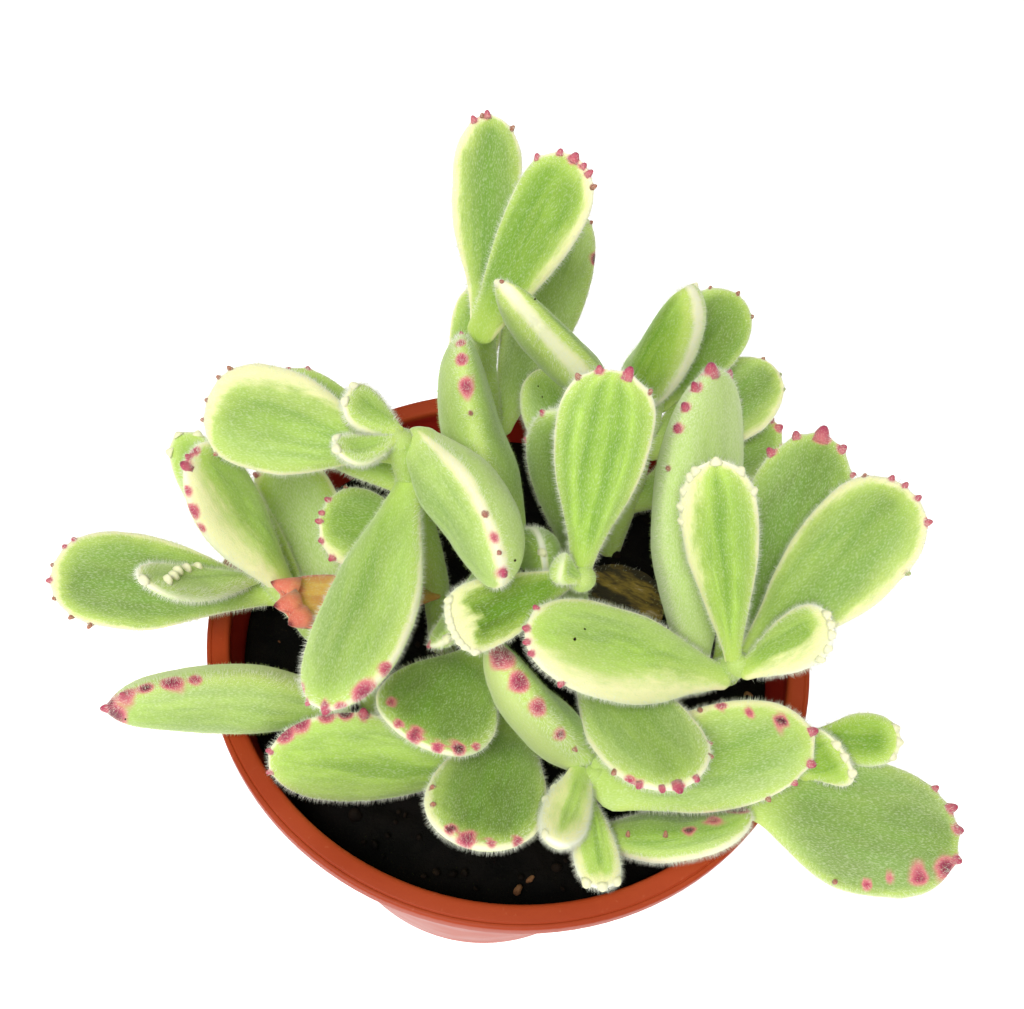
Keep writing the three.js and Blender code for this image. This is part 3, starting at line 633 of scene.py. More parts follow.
def soil_material(name, dark, light, roughness=0.75):
    shader = Shader(name)
    place = shader.place()
    grains = shader.noise(place, 700, 5, 0.7)
    lumps = shader.noise(place, 180, 4, 0.6)
    colour = shader.mix(shader.spread(lumps, 0.35, 0.7), dark, light)
    colour = shader.mix(shader.spread(grains, 0.66, 0.8, 0, 0.5), colour, srgb(110, 88, 60))
    normal = shader.bump(grains, 0.8, 0.0007)
    return shader.surface(Base_Color=colour, Roughness=roughness, Normal=normal, Specular_IOR_Level=0.08)


def floor_material():
    shader = Shader("white_floor")
    place = shader.place()
    tint = shader.spread(shader.noise(place, 20, 2), 0.3, 0.7)
    colour = shader.mix(tint, (0.93, 0.93, 0.93, 1), (0.96, 0.96, 0.96, 1))
    return shader.surface(
        Base_Color=colour, Roughness=0.9, Emission_Color=(1, 1, 1, 1), Emission_Strength=0.8)


# ---------------------------------------------------------------- leaves


def leaf_from(spec, base):
    """A leaf's shape and looks, with its directions along, across and out of its upper face."""
    leaf = SimpleNamespace(**{**LEAF_DEFAULTS, **spec})
    leaf.base = base + np.array([*leaf.foot, 0])
    reach = in_pot(leaf.tip) - leaf.base
    leaf.length = np.linalg.norm(reach)
    leaf.along = reach / leaf.length
    up = np.array([0, 0, 1.0])
    face = unit(up - leaf.along * leaf.along[2])
    turn = math.radians(leaf.roll)
    leaf.face = face * math.cos(turn) + np.cross(leaf.along, face) * math.sin(turn)
    leaf.across = np.cross(leaf.along, leaf.face)
    return leaf


def width_share(leaf, t):
    """A leaf's width at a share of its length, as a share of its full width."""
    rising = np.sin(np.pi / 2 * np.clip(t / leaf.widest, 0, 1)) ** leaf.taper
    falling = 1 - np.clip((t - leaf.widest) / (1 - leaf.widest), 0, 1) ** leaf.blunt
    return np.where(t < leaf.widest, leaf.neck + (1 - leaf.neck) * rising, np.sqrt(falling))


def thickness_share(t):
    """A leaf's thickness at a share of its length, as a share of its full thickness."""
    rising = 0.5 + 0.5 * np.sin(np.pi / 2 * np.clip(t / THICKEST, 0, 1))
    falling = 1 - np.clip((t - THICKEST) / (1 - THICKEST), 0, 1) ** END_BLUNTNESS
    return np.where(t < THICKEST, rising, np.sqrt(falling))


def face_profile(turn):
    """How far out of the leaf's middle plane its skin is at an angle around it."""
    lift = -np.sin(turn)
    fullness = np.where(lift > 0, UPPER_FULLNESS, LOWER_FULLNESS)
    return np.sign(lift) * np.abs(lift) ** EDGE_SHARPNESS * fullness


def outline(leaf, degrees):
    """A place on the leaf's outline, as [mm across, mm along]. 0 degrees is the tip, plus goes
    towards the across side, 90 is the widest place and 180 the base."""
    turn = np.abs(degrees)
    tip_t = leaf.widest + (1 - leaf.widest) * np.cos(np.radians(np.minimum(turn, 90))) ** (2 / leaf.blunt)
    body_t = leaf.widest * (1 - (turn - 90) / 90)
    t = np.where(turn <= 90, tip_t, body_t)
    share = np.where(turn <= 90, np.sin(np.radians(turn)), width_share(leaf, body_t))
    return np.stack([np.sign(degrees) * share * leaf.width / 2, t * leaf.length], axis=-1)


def ring_places(leaf):
    """The rings' places along the leaf: even up to the widest place, then even along its outline."""
    body = np.linspace(0, leaf.widest, max(4, int(leaf.widest * leaf.length / BODY_STEP)), endpoint=False)
    fine = outline(leaf, np.linspace(90, 0.5, 240))
    walked = np.concatenate([[0], np.cumsum(np.linalg.norm(np.diff(fine, axis=0), axis=1))])
    count = max(6, int(walked[-1] / TIP_STEP))
    tip = np.interp(np.linspace(0, walked[-1], count), walked, fine[:, 1]) / leaf.length
    return np.concatenate([body, tip])


def furrow_wave(leaf, side):
    """1 in the furrows of the upper face and 0 on the ridges between them."""
    if not leaf.furrows:
        return np.zeros_like(side)
    return 0.5 + 0.5 * np.cos(2 * np.pi * leaf.furrows * (side + 1) / 2 + np.pi)


def in_leaf(leaf, x, y, z):
    """Points in the model's frame from millimetres across, along and out of the upper face."""
    t = y / leaf.length
    bend = leaf.sag * 4 * t * (1 - t)
    return (leaf.base + np.multiply.outer(x, leaf.across) + np.multiply.outer(y, leaf.along)
            + np.multiply.outer(z - bend, leaf.face))


def leaf_feet(leaf):
    """Where each tooth or mark stands, which way it points, and its kind."""
    feet = []
    for degrees, kind in leaf.teeth:
        place = outline(leaf, np.array([degrees - 1.0, degrees, degrees + 1.0]))
        run = place[2] - place[0]
        outward = unit(np.array([run[1], -run[0]]))
        if outward @ (place[1] - [0, leaf.widest * leaf.length]) < 0:
            outward = -outward
        foot = in_leaf(leaf, place[1, 0], place[1, 1], 0.0)
        feet.append((foot, outward[0] * leaf.across + outward[1] * leaf.along, TOOTH_KINDS[kind]))
    for side, t, kind in leaf.marks:
        half = leaf.width / 2 * width_share(leaf, t)
        lift = leaf.thickness / 2 * UPPER_FULLNESS * thickness_share(t) * math.sqrt(1 - side * side)
        foot = in_leaf(leaf, side * half, t * leaf.length, lift)
        feet.append((foot, leaf.face, TOOTH_KINDS[kind]))
    return feet


def tooth_rise(kind, distance):
    """How far a tooth draws out the skin at a distance from its foot."""
    return 0.5 * kind.claw * np.clip(1 - distance / (2.6 * kind.radius), 0, 1) ** 1.5


def claw_skin(leaf, foot, outward, kind):
    """A blunt little claw that stands on the leaf's margin and leans towards its tip."""
    size = kind.claw * (1 + 0.3 * noise(foot[None], 0.7, 3)[0])
    heights = np.array([-0.6, 0.1, 0.45, 0.75, 0.93]) * size
    radii = kind.radius * np.array([1.35, 1.05, 0.84, 0.6, 0.34]) ** kind.sharp
    axis = unit(outward + 0.25 * leaf.along)
    across = unit(np.cross(axis, leaf.face + 0.3 * leaf.along))
    third = np.cross(across, axis)
    turn = np.linspace(0, 2 * np.pi, CLAW_SIDES, endpoint=False)
    ring = np.cos(turn)[:, None] * across + 0.8 * np.sin(turn)[:, None] * third
    rings = foot + heights[:, None, None] * axis + radii[:, None, None] * ring
    ends = foot + np.array([heights[0], size])[:, None] * axis
    points = np.concatenate([rings.reshape(-1, 3), ends])
    rise = np.concatenate([np.repeat(heights, CLAW_SIDES), [heights[0], size]]) / size
    zero = np.zeros(len(points))
    pale = zero + (0.5 if kind.pink or kind.brown else 1)
    # The pale claws' white rim, partly painted highlight.
    rim = 0.25 * pale * (kind.pink < 0.2)
    pink = kind.pink * (0.7 + 0.3 * rise)
    dark = kind.dark * smooth(0.3, 1, rise) + 0.35 * (kind.pink > 0.5) * smooth(0.7, 1, rise)
    return SimpleNamespace(
        points=points, faces=closed_tube_faces(len(heights), CLAW_SIDES),
        mask_green=np.stack([pale, zero, zero, zero + leaf.tone], axis=1),
        mask_marks=np.stack([pink, dark, zero + kind.brown, zero + 0.3 * leaf.frost], axis=1),
        mask_face=np.stack([zero, rim, zero, zero], axis=1),
        grain=points, run=points, hairy=zero, fringe=zero, lean=zero[:, None] + leaf.along)


def leaf_grid(leaf):
    """The points of a leaf's skin before its teeth, ring by ring: x across, y along and z out of the
    upper face, and the same for its paint, which is turned about the leaf where that is twisted."""
    cap = np.radians(CAP_DEGREES)
    along = ring_places(leaf)
    half_width = leaf.width / 2 * width_share(leaf, along)
    half_thickness = leaf.thickness / 2 * thickness_share(along)
    start = -BASE_CAP * half_width[0]
    y = np.concatenate([start * np.sin(cap), along * leaf.length])
    half_width = np.concatenate([half_width[0] * np.cos(cap), half_width])
    half_thickness = np.concatenate([half_thickness[0] * np.cos(cap), half_thickness])
    turn = np.linspace(0, 2 * np.pi, LEAF_SIDES, endpoint=False)
    turn = turn - MARGIN_PULL * np.sin(2 * turn)

    rings = len(y)
    y, half_width, half_thickness = (np.repeat(each, LEAF_SIDES) for each in (y, half_width, half_thickness))
    turn = np.tile(turn, rings)
    t = np.maximum(y / leaf.length, 0)
    side = np.cos(turn)
    profile = face_profile(turn)
    upper = profile > 0
    wave = furrow_wave(leaf, side) * upper * smooth(0.08, 0.4, t)
    hollow = leaf.cup * half_thickness * (1 - side ** 2) ** 2 * upper
    z = half_thickness * profile
    z = z - wave * leaf.furrow_depth * smooth(1, 0.85, np.abs(side)) - hollow * smooth(0.3, 0.6, t)
    painted = turn - math.radians(leaf.margin_turn)
    local = np.stack([half_width * np.cos(painted), y, half_thickness * face_profile(painted)], axis=1)
    return SimpleNamespace(
        rings=rings, x=half_width * side, y=y, z=z, t=t, start=start, wave=wave, deep=half_thickness,
        side=np.cos(painted), local=local)


def with_teeth(leaf, points, local, seed):
    """The skin's points drawn out at each tooth, how strongly the teeth stain them pink, dark and
    brown, and the claws that stand there."""
    stains = np.zeros((len(points), 3))
    warp = 1 + 0.4 * noise(local, 1.7, seed + 5)
    claws = []
    for foot, direction, kind in leaf_feet(leaf):
        offset = points - foot
        distance = np.linalg.norm(offset + np.outer(offset @ leaf.face * 0.5, leaf.face), axis=1)
        points = points + direction * tooth_rise(kind, distance)[:, None]
        centre = offset + direction * 0.35 * kind.reach
        if kind.claw:
            claws.append(claw_skin(leaf, foot, direction, kind))
        else:
            sideways = np.cross(leaf.face, direction)
            centre = centre - np.outer(centre @ sideways * 0.25, sideways)
        distance = np.linalg.norm(centre, axis=1) * warp / kind.reach
        near = 1 - smooth(0.25, 1.35, distance)
        core = 1 - smooth(0.2, 1.1, distance)
        stain = np.stack([near * kind.pink, core * kind.dark, near * kind.brown], axis=1)
        stains = np.maximum(stains, stain)
    return points, stains, claws


def end_rise(leaf):
    """How far a tooth at the very tip draws out the skin's last point."""
    tip = np.array([0, leaf.length])
    rises = [tooth_rise(TOOTH_KINDS[kind], np.linalg.norm(outline(leaf, degrees) - tip))
             for degrees, kind in leaf.teeth]
    return max(rises, default=0)


def leaf_margin(leaf, local):
    """Each point's distance from the leaf's outline, and the cream margin's width there."""
    degrees = np.arange(-178, 178.1, 2)
    edge = outline(leaf, degrees)
    edge = np.concatenate([edge, np.zeros((len(edge), 1))], axis=1)
    gaps = np.linalg.norm(local[:, None, :] - edge, axis=2)
    minus, tip, plus = leaf.cream
    band = np.interp(degrees[gaps.argmin(axis=1)], [-178, -120, -55, 0, 55, 120, 178],
                     [0.3 * minus, minus, minus, tip, plus, plus, 0.3 * plus])
    return gaps.min(axis=1), band


def leaf_masks(leaf, grid, stains, seed):
    """What the skin's material paints by, and how far each point belongs to the hairy margin."""
    local = grid.local
    side = grid.side
    t = grid.t
    to_edge, band = leaf_margin(leaf, local)
    band = band * (1 + 0.35 * noise(local * [1, 0.5, 1], 2.6, seed + 2))
    cream = (1 - smooth(0.1 * band, 1.7 * band + 0.3, to_edge)) * smooth(0.05, 0.5, band)
    lime = 1 - smooth(0.1 + 0.3 * band, 2.4 + 1.7 * band, to_edge)
    lower = smooth(0.1, 0.5, -local[:, 2] / grid.deep.clip(0.1))
    base = 1 - smooth(0.02, 0.26, t)
    inside = smooth(0.4, 4.5, to_edge)
    # The leaf's own tone, varied at random, with a painted highlight: lighter green near the outline and
    # darker inside.
    tone = leaf.tone + 0.24 - 0.26 * inside + 0.2 * noise(local * [1, 0.35, 1], 6, seed + 3)
    window = smooth(0.02, 0.25, t) * smooth(0.98, 0.7, t) * (1 - lower)
    # Painted shade, partly: darker green in the furrows and along the hollow middle line, over the leaf's own
    # veining.
    midline_and_furrow_shade = np.maximum(grid.wave, leaf.midline * (np.exp(-(side / 0.24) ** 2) * window))
    # The frost's bloom, with a painted sheen: it grows towards the margins, where the light catches the
    # hairs.
    frost_with_sheen = (0.45 + 0.8 * np.abs(side) ** 1.5) * (1 + 0.4 * noise(local * [1, 0.5, 1], 4, seed + 4))
    frost = np.clip(leaf.frost * frost_with_sheen, 0, 1)
    # The white rim along the outline: the margin's hairs with a painted highlight.
    rim = leaf.rim * (1 - smooth(0.05, 0.75, to_edge)) * smooth(0.1, 0.4, t)
    return dict(
        mask_green=np.stack([cream, base, midline_and_furrow_shade, np.clip(tone, 0, 1)], axis=1),
        mask_marks=np.concatenate([stains, frost[:, None]], axis=1),
        mask_face=np.stack([leaf.veins * window, rim, leaf.under * lower, leaf.pale_edge * lime], axis=1),
        grain=local * [1, 0.32, 1] + seed * 3.7,
        run=np.stack([2.4 * side, 0.05 * grid.y, lower], axis=1) + seed * 1.9,
        hairy=smooth(0.03, 0.12, t) * leaf.hair,
        fringe=1 - smooth(0.4, 2.4, to_edge))


def leaf_skin(leaf, seed):
    """The skin of one leaf with its claws: points, faces, masks and how hairy each point is."""
    grid = leaf_grid(leaf)
    points = in_leaf(leaf, grid.x, grid.y, grid.z)
    flat = np.zeros_like(grid.x)
    outward = unit_rows(points - in_leaf(leaf, flat, grid.y, flat))
    swell = 0.16 * noise(grid.local, 5.5, seed) + 0.05 * noise(grid.local, 1.6, seed + 1)
    points = points + outward * (swell * smooth(0, 0.2, grid.t))[:, None]
    points, stains, claws = with_teeth(leaf, points, grid.local, seed)
    ends = np.array([in_leaf(leaf, 0.0, grid.start, 0.0), in_leaf(leaf, 0.0, leaf.length, 0.0)])
    ends[1] += leaf.along * end_rise(leaf)
    points = np.concatenate([points, ends])
    masks = {name: np.concatenate([rows, rows[:1], rows[-1:]])
             for name, rows in leaf_masks(leaf, grid, stains, seed).items()}
    body = SimpleNamespace(
        points=points, faces=closed_tube_faces(grid.rings, LEAF_SIDES),
        lean=np.tile(leaf.along, (len(points), 1)), **masks)
    return joined([body, *claws])


# ---------------------------------------------------------------- stems


def curve_points(path, steps=40):
    """A centripetal Catmull-Rom curve through the path's points."""
    path = [np.array(point, float) for point in path]
    path = [2 * path[0] - path[1], *path, 2 * path[-1] - path[-2]]
    places = []
    for first, start, end, last in zip(path, path[1:], path[2:], path[3:]):
        spans = ((first, start), (start, end), (end, last))
        before, here, after = (max(np.linalg.norm(b - a) ** 0.5, 1e-4) for a, b in spans)
        leave = (start - first) / before - (end - first) / (before + here) + (end - start) / here
        arrive = (end - start) / here - (last - start) / (here + after) + (last - end) / after
        leave = leave * here
        arrive = arrive * here
        for share in np.arange(steps) / steps:
            cubic = 2 * (start - end) + leave + arrive
            square = 3 * (end - start) - 2 * leave - arrive
            places.append(start + leave * share + square * share ** 2 + cubic * share ** 3)
    places.append(path[-2])
    return np.array(places)


def stem_curve(shoot):
    """A shoot's middle line, from its root in the soil to its top."""
    x, y = shoot["path"][0][:2]
    root = (x * 0.8, y * 0.8, SOIL_LEVEL - ROOT_DEPTH)
    return curve_points([in_pot(point) for point in (root, *shoot["path"])])


def stem_point(curve, height):
    """The stem's point at a height above the rim."""
    level = RIM_HEIGHT + height
    above = np.nonzero(curve[:, 2] >= level)[0]
    if len(above) == 0:
        return curve[-1]
    after = max(int(above[0]), 1)
    low, high = curve[after - 1], curve[after]
    return low + (high - low) * (level - low[2]) / (high[2] - low[2])


def stem_skin(shoot, curve, seed):
    """The skin of a stem, brownish at its foot, with the same masks as a leaf's."""
    along = unit_rows(np.gradient(curve, axis=0))
    radius = shoot["radius"] * (1 - STEM_TAPER * np.linspace(0, 1, len(curve)))
    across = unit_rows(np.array([[1.0, 0, 0]]) - along * along[:, :1])
    third = np.cross(along, across)
    turn = np.linspace(0, 2 * np.pi, STEM_SIDES, endpoint=False)[:, None]
    outward = np.cos(turn) * across[:, None, :] + np.sin(turn) * third[:, None, :]
    points = (curve[:, None, :] + radius[:, None, None] * outward).reshape(-1, 3)
    points = points + outward.reshape(-1, 3) * (0.14 * noise(points, 2.2, seed))[:, None]
    ends = np.array([curve[0], curve[-1] + along[-1] * shoot["radius"] * 0.6])
    points = np.concatenate([points, ends])
    height = points[:, 2] - RIM_HEIGHT
    zero = np.zeros(len(points))
    brown = 0.5 * (1 - smooth(SOIL_LEVEL, SOIL_LEVEL + 9, height))
    return SimpleNamespace(
        points=points, faces=closed_tube_faces(len(curve), STEM_SIDES),
        mask_green=np.stack([zero, zero + 0.9, zero, zero + 0.6], axis=1),
        mask_marks=np.stack([zero, zero, brown, zero + 0.4], axis=1),
        mask_face=np.zeros((len(points), 4)), grain=points * [1, 1, 0.4] + seed, run=points,
        hairy=0.5 * smooth(SOIL_LEVEL + 1, SOIL_LEVEL + 4, height), fringe=zero + 0.5,
        lean=np.concatenate([np.repeat(along, STEM_SIDES, axis=0), along[:1], along[-1:]]))


def joined(skins):
    """Several skins as one, for a leaf and its claws, or a stem and the buds fused to it."""
    faces = []
    start = 0
    for skin in skins:
        faces += [tuple(corner + start for corner in face) for face in skin.faces]
        start += len(skin.points)
    parts = {key: np.concatenate([getattr(skin, key) for skin in skins])
             for key in vars(skins[0]) if key != "faces"}
    return SimpleNamespace(faces=faces, **parts)


def skin_piece(node, skin, material):
    """The visible piece that stands for a CAD node."""
    piece = mesh_object(node + "_skin", skin.points, skin.faces, material)
    for name in ("mask_green", "mask_marks", "mask_face"):
        add_attribute(piece, name, "FLOAT_COLOR", getattr(skin, name))
    for name in ("grain", "run"):
        add_attribute(piece, name, "FLOAT_VECTOR", getattr(skin, name))
    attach(piece, "root")
    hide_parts(node)


# ---------------------------------------------------------------- hairs


def triangles_of(faces):
    return np.array([(face[0], face[corner], face[corner + 1])
                     for face in faces for corner in range(1, len(face) - 1)])


def hair_spikes(skin, draw):
    """Three-sided spikes that stand on a skin: their points, their faces and how pale they are."""
    triangles = triangles_of(skin.faces)
    a, b, c = (skin.points[triangles[:, corner]] for corner in range(3))
    normals = np.cross(b - a, c - a)
    areas = np.linalg.norm(normals, axis=1) / 2
    normals = unit_rows(normals)
    smooth_normals = np.zeros_like(skin.points)
    for corner in range(3):
        np.add.at(smooth_normals, triangles[:, corner], normals * areas[:, None])
    smooth_normals = unit_rows(smooth_normals)
    fringed = skin.fringe[triangles].mean(axis=1)
    weight = areas * skin.hairy[triangles].mean(axis=1) * (0.6 + 2.6 * fringed)
    count = int(weight.sum() * HAIRS_PER_MM2)
    chosen = draw.choice(len(triangles), count, p=weight / weight.sum())
    shares = draw.dirichlet((1, 1, 1), count)
    corners = triangles[chosen]
    foot = np.einsum("nk,nkd->nd", shares, skin.points[corners])
    normal = unit_rows(np.einsum("nk,nkd->nd", shares, smooth_normals[corners]))
    lean = skin.lean[corners[:, 0]]
    direction = unit_rows(normal + 0.12 * lean + 0.17 * draw.normal(size=(count, 3)))
    fringe = skin.fringe[corners].mean(axis=1)
    length = FACE_HAIR_LENGTH + (MARGIN_HAIR_LENGTH - FACE_HAIR_LENGTH) * fringe
    length = length * draw.uniform(0.75, 1.2, count)
    across = unit_rows(np.cross(direction, [0.31, 0.52, 0.79]))
    third = np.cross(direction, across)
    foot = foot - normal * 0.05
    points = np.empty((count, 4, 3))
    for corner in range(3):
        turn = 2 * math.pi * corner / 3
        points[:, corner] = foot + HAIR_RADIUS * (math.cos(turn) * across + math.sin(turn) * third)
    points[:, 3] = foot + direction * length[:, None]
    start = np.arange(count)[:, None] * 4
    faces = np.concatenate([start + side for side in ((0, 1, 3), (1, 2, 3), (2, 0, 3))])
    return points.reshape(-1, 3), faces, np.repeat(smooth(0.05, 0.7, fringe), 4)


def hair_piece(name, skins, material, draw):
    """All the hairs of one shoot."""
    spikes = [hair_spikes(skin, draw) for skin in skins]
    points, faces = merged([(points, faces) for points, faces, _ in spikes])
    piece = mesh_object(name, points, faces, material)
    add_attribute(piece, "paleness", "FLOAT", np.concatenate([paleness for _, _, paleness in spikes]))
    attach(piece, "root")


# ---------------------------------------------------------------- pot and soil


def inner_radius(height):
    return INNER_FOOT + WALL_LEAN * height


def rounded(corner_in, corner, corner_out, radius, steps=5):
    """Points of an arc-like rounding of a corner."""
    corner = np.array(corner, float)
    start = corner + unit(np.array(corner_in) - corner) * radius
    end = corner + unit(np.array(corner_out) - corner) * radius
    shares = np.linspace(0, 1, steps)
    return [tuple((1 - s) ** 2 * start + 2 * s * (1 - s) * corner + s * s * end) for s in shares]


def pot_profile():
    """The pot's outline from its underside to its floor, as radii and heights."""
    lip_inside = RIM_RADIUS - LIP_WIDTH
    lip_bottom = RIM_HEIGHT - LIP_DROP
    groove = RIM_RADIUS - GROOVE_INSET
    # Each corner's radius, height and rounding.
    corners = [
        (0, 0, 0), (BASE_RADIUS, 0, 0.8), (lip_inside + WALL, lip_bottom, 0.3),
        (RIM_RADIUS, lip_bottom, 0.5), (RIM_RADIUS, RIM_HEIGHT, LIP_ROUND / 2),
        (groove + GROOVE, RIM_HEIGHT, 0.05), (groove, RIM_HEIGHT - GROOVE, 0.05),
        (groove - GROOVE, RIM_HEIGHT, 0.05), (lip_inside, RIM_HEIGHT, LIP_ROUND),
        (lip_inside, lip_bottom, 0.4), (inner_radius(WALL), WALL, 0.8), (0, WALL, 0),
    ]
    profile = [corners[0][:2]]
    for before, here, after in zip(corners, corners[1:], corners[2:]):
        profile += rounded(before[:2], here[:2], after[:2], here[2])
    profile.append(corners[-1][:2])
    return profile


def lathe(profile, sides):
    """A turned body whose profile starts and ends on the axis."""
    middle = np.array(profile[1:-1])
    turn = np.linspace(0, 2 * np.pi, sides, endpoint=False)
    rings = np.stack([
        middle[:, 0][:, None] * np.cos(turn), middle[:, 0][:, None] * np.sin(turn),
        middle[:, 1][:, None] * np.ones(sides)], axis=2)
    ends = [(0, 0, profile[0][1]), (0, 0, profile[-1][1])]
    return np.concatenate([rings.reshape(-1, 3), ends]), closed_tube_faces(len(middle), sides)


def drain_hole(angle):
    """The body that is cut from the pot's floor for one hole."""
    bpy.ops.mesh.primitive_cylinder_add(
        vertices=24, radius=DRAIN_RADIUS * MM, depth=WALL * 4 * MM,
        location=(DRAIN_CIRCLE * MM * math.cos(angle), DRAIN_CIRCLE * MM * math.sin(angle), 0))
    return bpy.context.object


def apply_modifiers(obj):
    evaluated = obj.evaluated_get(bpy.context.evaluated_depsgraph_get())
    mesh = bpy.data.meshes.new_from_object(evaluated)
    old = obj.data
    obj.modifiers.clear()
    obj.data = mesh
    bpy.data.meshes.remove(old)


def build_pot():
    points, faces = lathe(pot_profile(), POT_SIDES)
    piece = mesh_object("pot_body", points, faces, pot_material())
    drills = [drain_hole(2 * math.pi * hole / DRAIN_HOLES) for hole in range(DRAIN_HOLES)]
    for drill in drills:
        cut = piece.modifiers.new("drain", "BOOLEAN")
        cut.operation = "DIFFERENCE"
        cut.object = drill
    apply_modifiers(piece)
    for drill in drills:
        bpy.data.objects.remove(drill)
    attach(piece, "root")
    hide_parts("pot")


def build_soil(draw):
    """The soil's bed, uneven on top and down to the pot's floor, and what lies loose on it."""
    top = RIM_HEIGHT + SOIL_LEVEL
    edge = inner_radius(top) - SOIL_GAP
    radii = np.linspace(edge, 0.8, 60)
    turn = np.linspace(0, 2 * np.pi, SOIL_SIDES, endpoint=False)
    x = radii[:, None] * np.cos(turn)
    y = radii[:, None] * np.sin(turn)
    bed = np.stack([x.ravel(), y.ravel(), np.zeros(x.size)], axis=1)
    lump = 0.9 * noise(bed, 6, 11) + 0.55 * noise(bed, 2.1, 12) + 0.3 * noise(bed, 0.9, 13)
    inside = smooth(edge, edge - 4, np.hypot(bed[:, 0], bed[:, 1]))
    bed[:, 2] = top + SOIL_HUMP * inside + lump * (0.35 + 0.65 * inside)
    bottom = WALL + SOIL_GAP
    foot = inner_radius(bottom) - SOIL_GAP
    low = np.stack([foot * np.cos(turn), foot * np.sin(turn), np.full(SOIL_SIDES, bottom)], axis=1)
    points = np.concatenate([low, bed, [(0, 0, bottom), (0, 0, top + SOIL_HUMP)]])
    piece = mesh_object("soil_bed", points, closed_tube_faces(len(radii) + 1, SOIL_SIDES),
                        soil_material("potting_soil", srgb(3, 3, 2), srgb(14, 11, 8)))
    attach(piece, "root")
    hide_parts("soil")
    build_crumbs("soil_crumbs", 420, (0.35, 1.3), draw,
                 soil_material("soil_crumb", srgb(5, 4, 3), srgb(34, 25, 18)))
    build_crumbs("soil_chips", 80, (0.4, 1.5), draw,
                 soil_material("bark_chip", srgb(84, 52, 34), srgb(150, 110, 74), 0.85))


def ball():
    """The points and faces of a ball of radius 1."""
    mesh = bmesh.new()
    bmesh.ops.create_icosphere(mesh, subdivisions=2, radius=1)
    points = np.array([vertex.co for vertex in mesh.verts])
    faces = np.array([[vertex.index for vertex in face.verts] for face in mesh.faces])
    mesh.free()
    return points, faces


BALL_POINTS, BALL_FACES = ball()


def rotation(draw):
    """A random turn in space."""
    w, x, y, z = unit(draw.normal(size=4))
    return np.array([
        [1 - 2 * (y * y + z * z), 2 * (x * y - z * w), 2 * (x * z + y * w)],
        [2 * (x * y + z * w), 1 - 2 * (x * x + z * z), 2 * (y * z - x * w)],
        [2 * (x * z - y * w), 2 * (y * z + x * w), 1 - 2 * (x * x + y * y)]])


def lump_points(size, draw, stretch):
    """The points of a small broken lump: a ball, pushed about, stretched and turned."""
    seed = int(draw.integers(1, 10 ** 6))
    shape = BALL_POINTS * (1 + 0.35 * noise(BALL_POINTS, 0.9, seed))[:, None]
    shape = shape * draw.uniform(*stretch, 3) * size
    return shape @ rotation(draw).T


def loose_piece(name, lumps, material):
    """Loose bits of soil, all in one piece."""
    points, faces = merged([(lump, BALL_FACES) for lump in lumps])
    piece = mesh_object(name, points, faces, material)
    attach(piece, "root")


def build_crumbs(name, count, sizes, draw, material):
    """Crumbs or chips that lie on the soil, most of them near the smallest size."""
    top = RIM_HEIGHT + SOIL_LEVEL
    lumps = []
    for _ in range(count):
        size = sizes[0] + (sizes[1] - sizes[0]) * draw.random() ** 2.5
        radius = (inner_radius(top) - 1.5 - size) * math.sqrt(draw.random())
        angle = draw.uniform(0, 2 * math.pi)
        place = np.array([radius * math.cos(angle), radius * math.sin(angle), top + SOIL_HUMP + 0.35 * size])
        lumps.append(lump_points(size, draw, (0.6, 1.1)) + place)
    loose_piece(name, lumps, material)


def build_specks(skins, draw):
    """Specks of soil that lie on the leaves' upper faces, away from their margins."""
    lumps = []
    for skin in skins:
        middle = skin.points.mean(axis=0)
        for _ in range(int(draw.integers(0, 4))):
            index = int(draw.integers(LEAF_SIDES * 4, len(skin.points) - 2))
            place = skin.points[index]
            if place[2] < middle[2] or skin.fringe[index] > 0.2 or skin.hairy[index] == 0:
                continue
            size = draw.uniform(0.07, 0.17)
            lumps.append(lump_points(size, draw, (0.5, 1.6)) + place + [0, 0, 0.05])
    loose_piece("soil_specks", lumps, soil_material("soil_speck", srgb(34, 26, 18), srgb(64, 50, 34)))


# ---------------------------------------------------------------- the plant's pieces


def build_plant(draw):
    """Every shoot's stem, leaves and hairs. Gives back the leaves' skins."""
    green = skin_material("leaf_skin", LEAF_COLOURS)
    looks = {
        "leaf": (green, "leaf_skin"),
        "old": (skin_material("old_leaf_skin", OLD_COLOURS), "old_leaf_skin"),
        "dry": (dry_material(), "dry_leaf_skin"),
    }
    hairs = hair_material()
    leaf_skins = []
    seed = SEED
    for shoot in SHOOTS:
        curve = stem_curve(shoot)
        seed += 20
        stem = [stem_skin(shoot, curve, seed)]
        for bud in shoot.get("buds", ()):
            seed += 10
            stem.append(leaf_skin(leaf_from(bud, in_pot(bud["root"])), seed))
        skins = [joined(stem)]
        skin_piece(shoot["name"] + "_stem", skins[0], green)
        for spec in shoot["leaves"]:
            seed += 10
            leaf = leaf_from(spec, stem_point(curve, spec["at"]))
            material, slot = looks[leaf.skin]
            skins.append(leaf_skin(leaf, seed))
            skin_piece(f"{shoot['name']}_leaf_{leaf.name}", skins[-1], material)
        hair_piece(shoot["name"] + "_hairs", skins, hairs, draw)
        leaf_skins += skins[1:]
    return leaf_skins


# ---------------------------------------------------------------- studio

FLOOR_WIDTH = 1800
LIGHT_PLACE = (-120, -300, 600)
LIGHT_AIM = (0, 0, 70)
LIGHT_WIDTH = 350
LIGHT_WATTS = 3.2
SKY_STRENGTH = 0.36

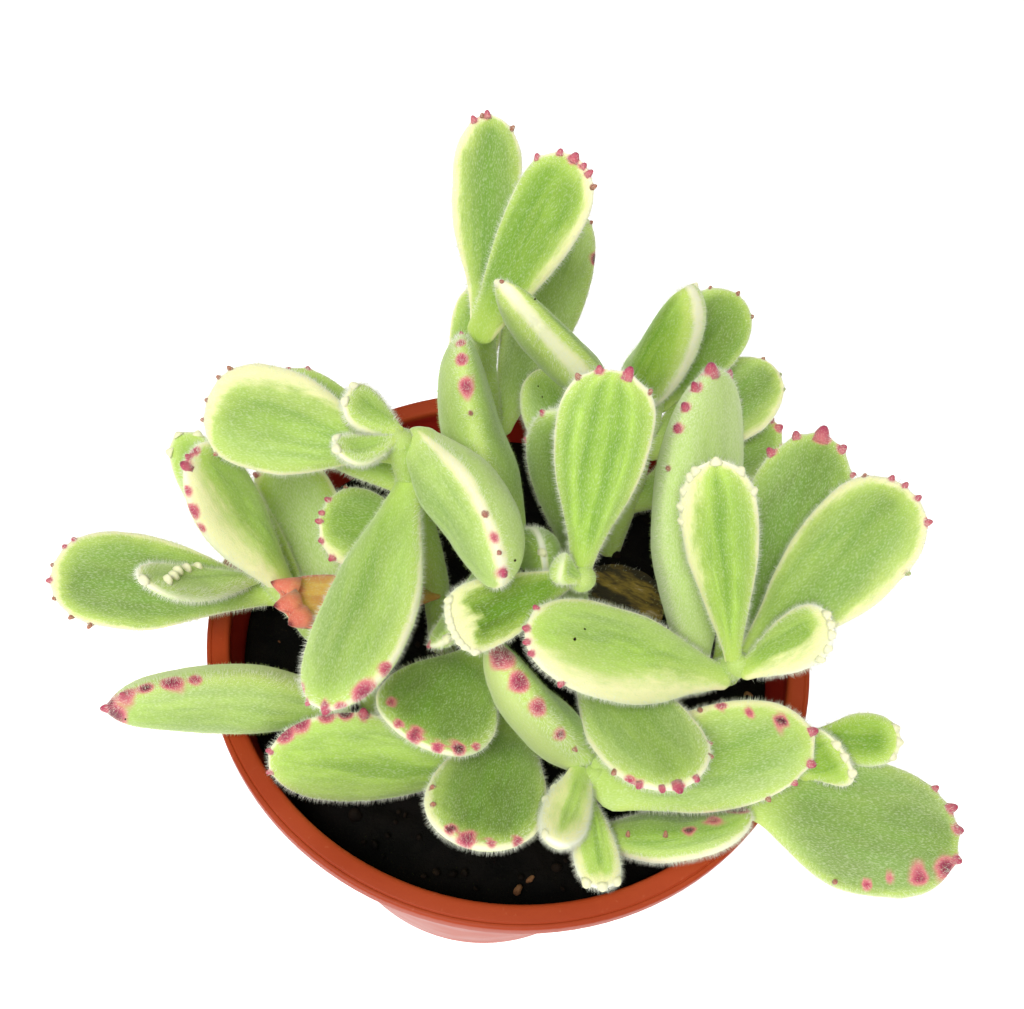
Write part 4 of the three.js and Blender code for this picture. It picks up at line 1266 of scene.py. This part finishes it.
# The photographed view: where the camera stands, how steeply it looks down and how it is rolled.
CAMERA_PLACE = (-3, -76.8, 200.7)
CAMERA_ELEVATION = 53.4
CAMERA_ROLL = 8.9
CAMERA_LENS = 35.156


def build_floor():
    reach = FLOOR_WIDTH / 2
    points = [(-reach, -reach, 0), (reach, -reach, 0), (reach, reach, 0), (-reach, reach, 0)]
    floor = mesh_object("floor", points, [(0, 1, 2, 3)], floor_material(), False)


def build_light():
    """A soft disc of light from the front, above the camera."""
    light = bpy.data.lights.new("key", "AREA")
    light.shape = "DISK"
    light.size = LIGHT_WIDTH * MM
    light.energy = LIGHT_WATTS
    lamp = link(bpy.data.objects.new("key", light))
    lamp.location = Vector(LIGHT_PLACE) * MM
    direction = Vector(LIGHT_AIM) - Vector(LIGHT_PLACE)
    lamp.rotation_euler = direction.to_track_quat("-Z", "Y").to_euler()


def build_studio():
    build_floor()
    build_light()
    world = bpy.data.worlds.new("studio")
    world.use_nodes = True
    background = world.node_tree.nodes["Background"]
    background.inputs["Color"].default_value = (1, 1, 1, 1)
    background.inputs["Strength"].default_value = SKY_STRENGTH
    bpy.context.scene.world = world
    bpy.context.scene.view_settings.view_transform = "Standard"


def build_camera():
    elevation = math.radians(CAMERA_ELEVATION)
    roll = math.radians(CAMERA_ROLL)
    back = np.array([0, -math.cos(elevation), math.sin(elevation)])
    right = np.array([1.0, 0, 0])
    up = np.cross(back, right)
    turned_right = math.cos(roll) * right + math.sin(roll) * up
    turned_up = -math.sin(roll) * right + math.cos(roll) * up
    data = bpy.data.cameras.new("camera")
    data.lens = CAMERA_LENS
    data.clip_start = MM
    camera = link(bpy.data.objects.new("camera", data))
    place = np.array(CAMERA_PLACE) * MM
    rows = np.column_stack([turned_right, turned_up, back, place])
    camera.matrix_world = Matrix([*rows.tolist(), (0, 0, 0, 1)])
    bpy.context.scene.camera = camera


# ---------------------------------------------------------------- assembly

build_camera()
build_studio()
build_pot()
build_soil(np.random.default_rng(SEED))
leaf_skins = build_plant(np.random.default_rng(SEED + 1))
build_specks(leaf_skins, np.random.default_rng(SEED + 2))
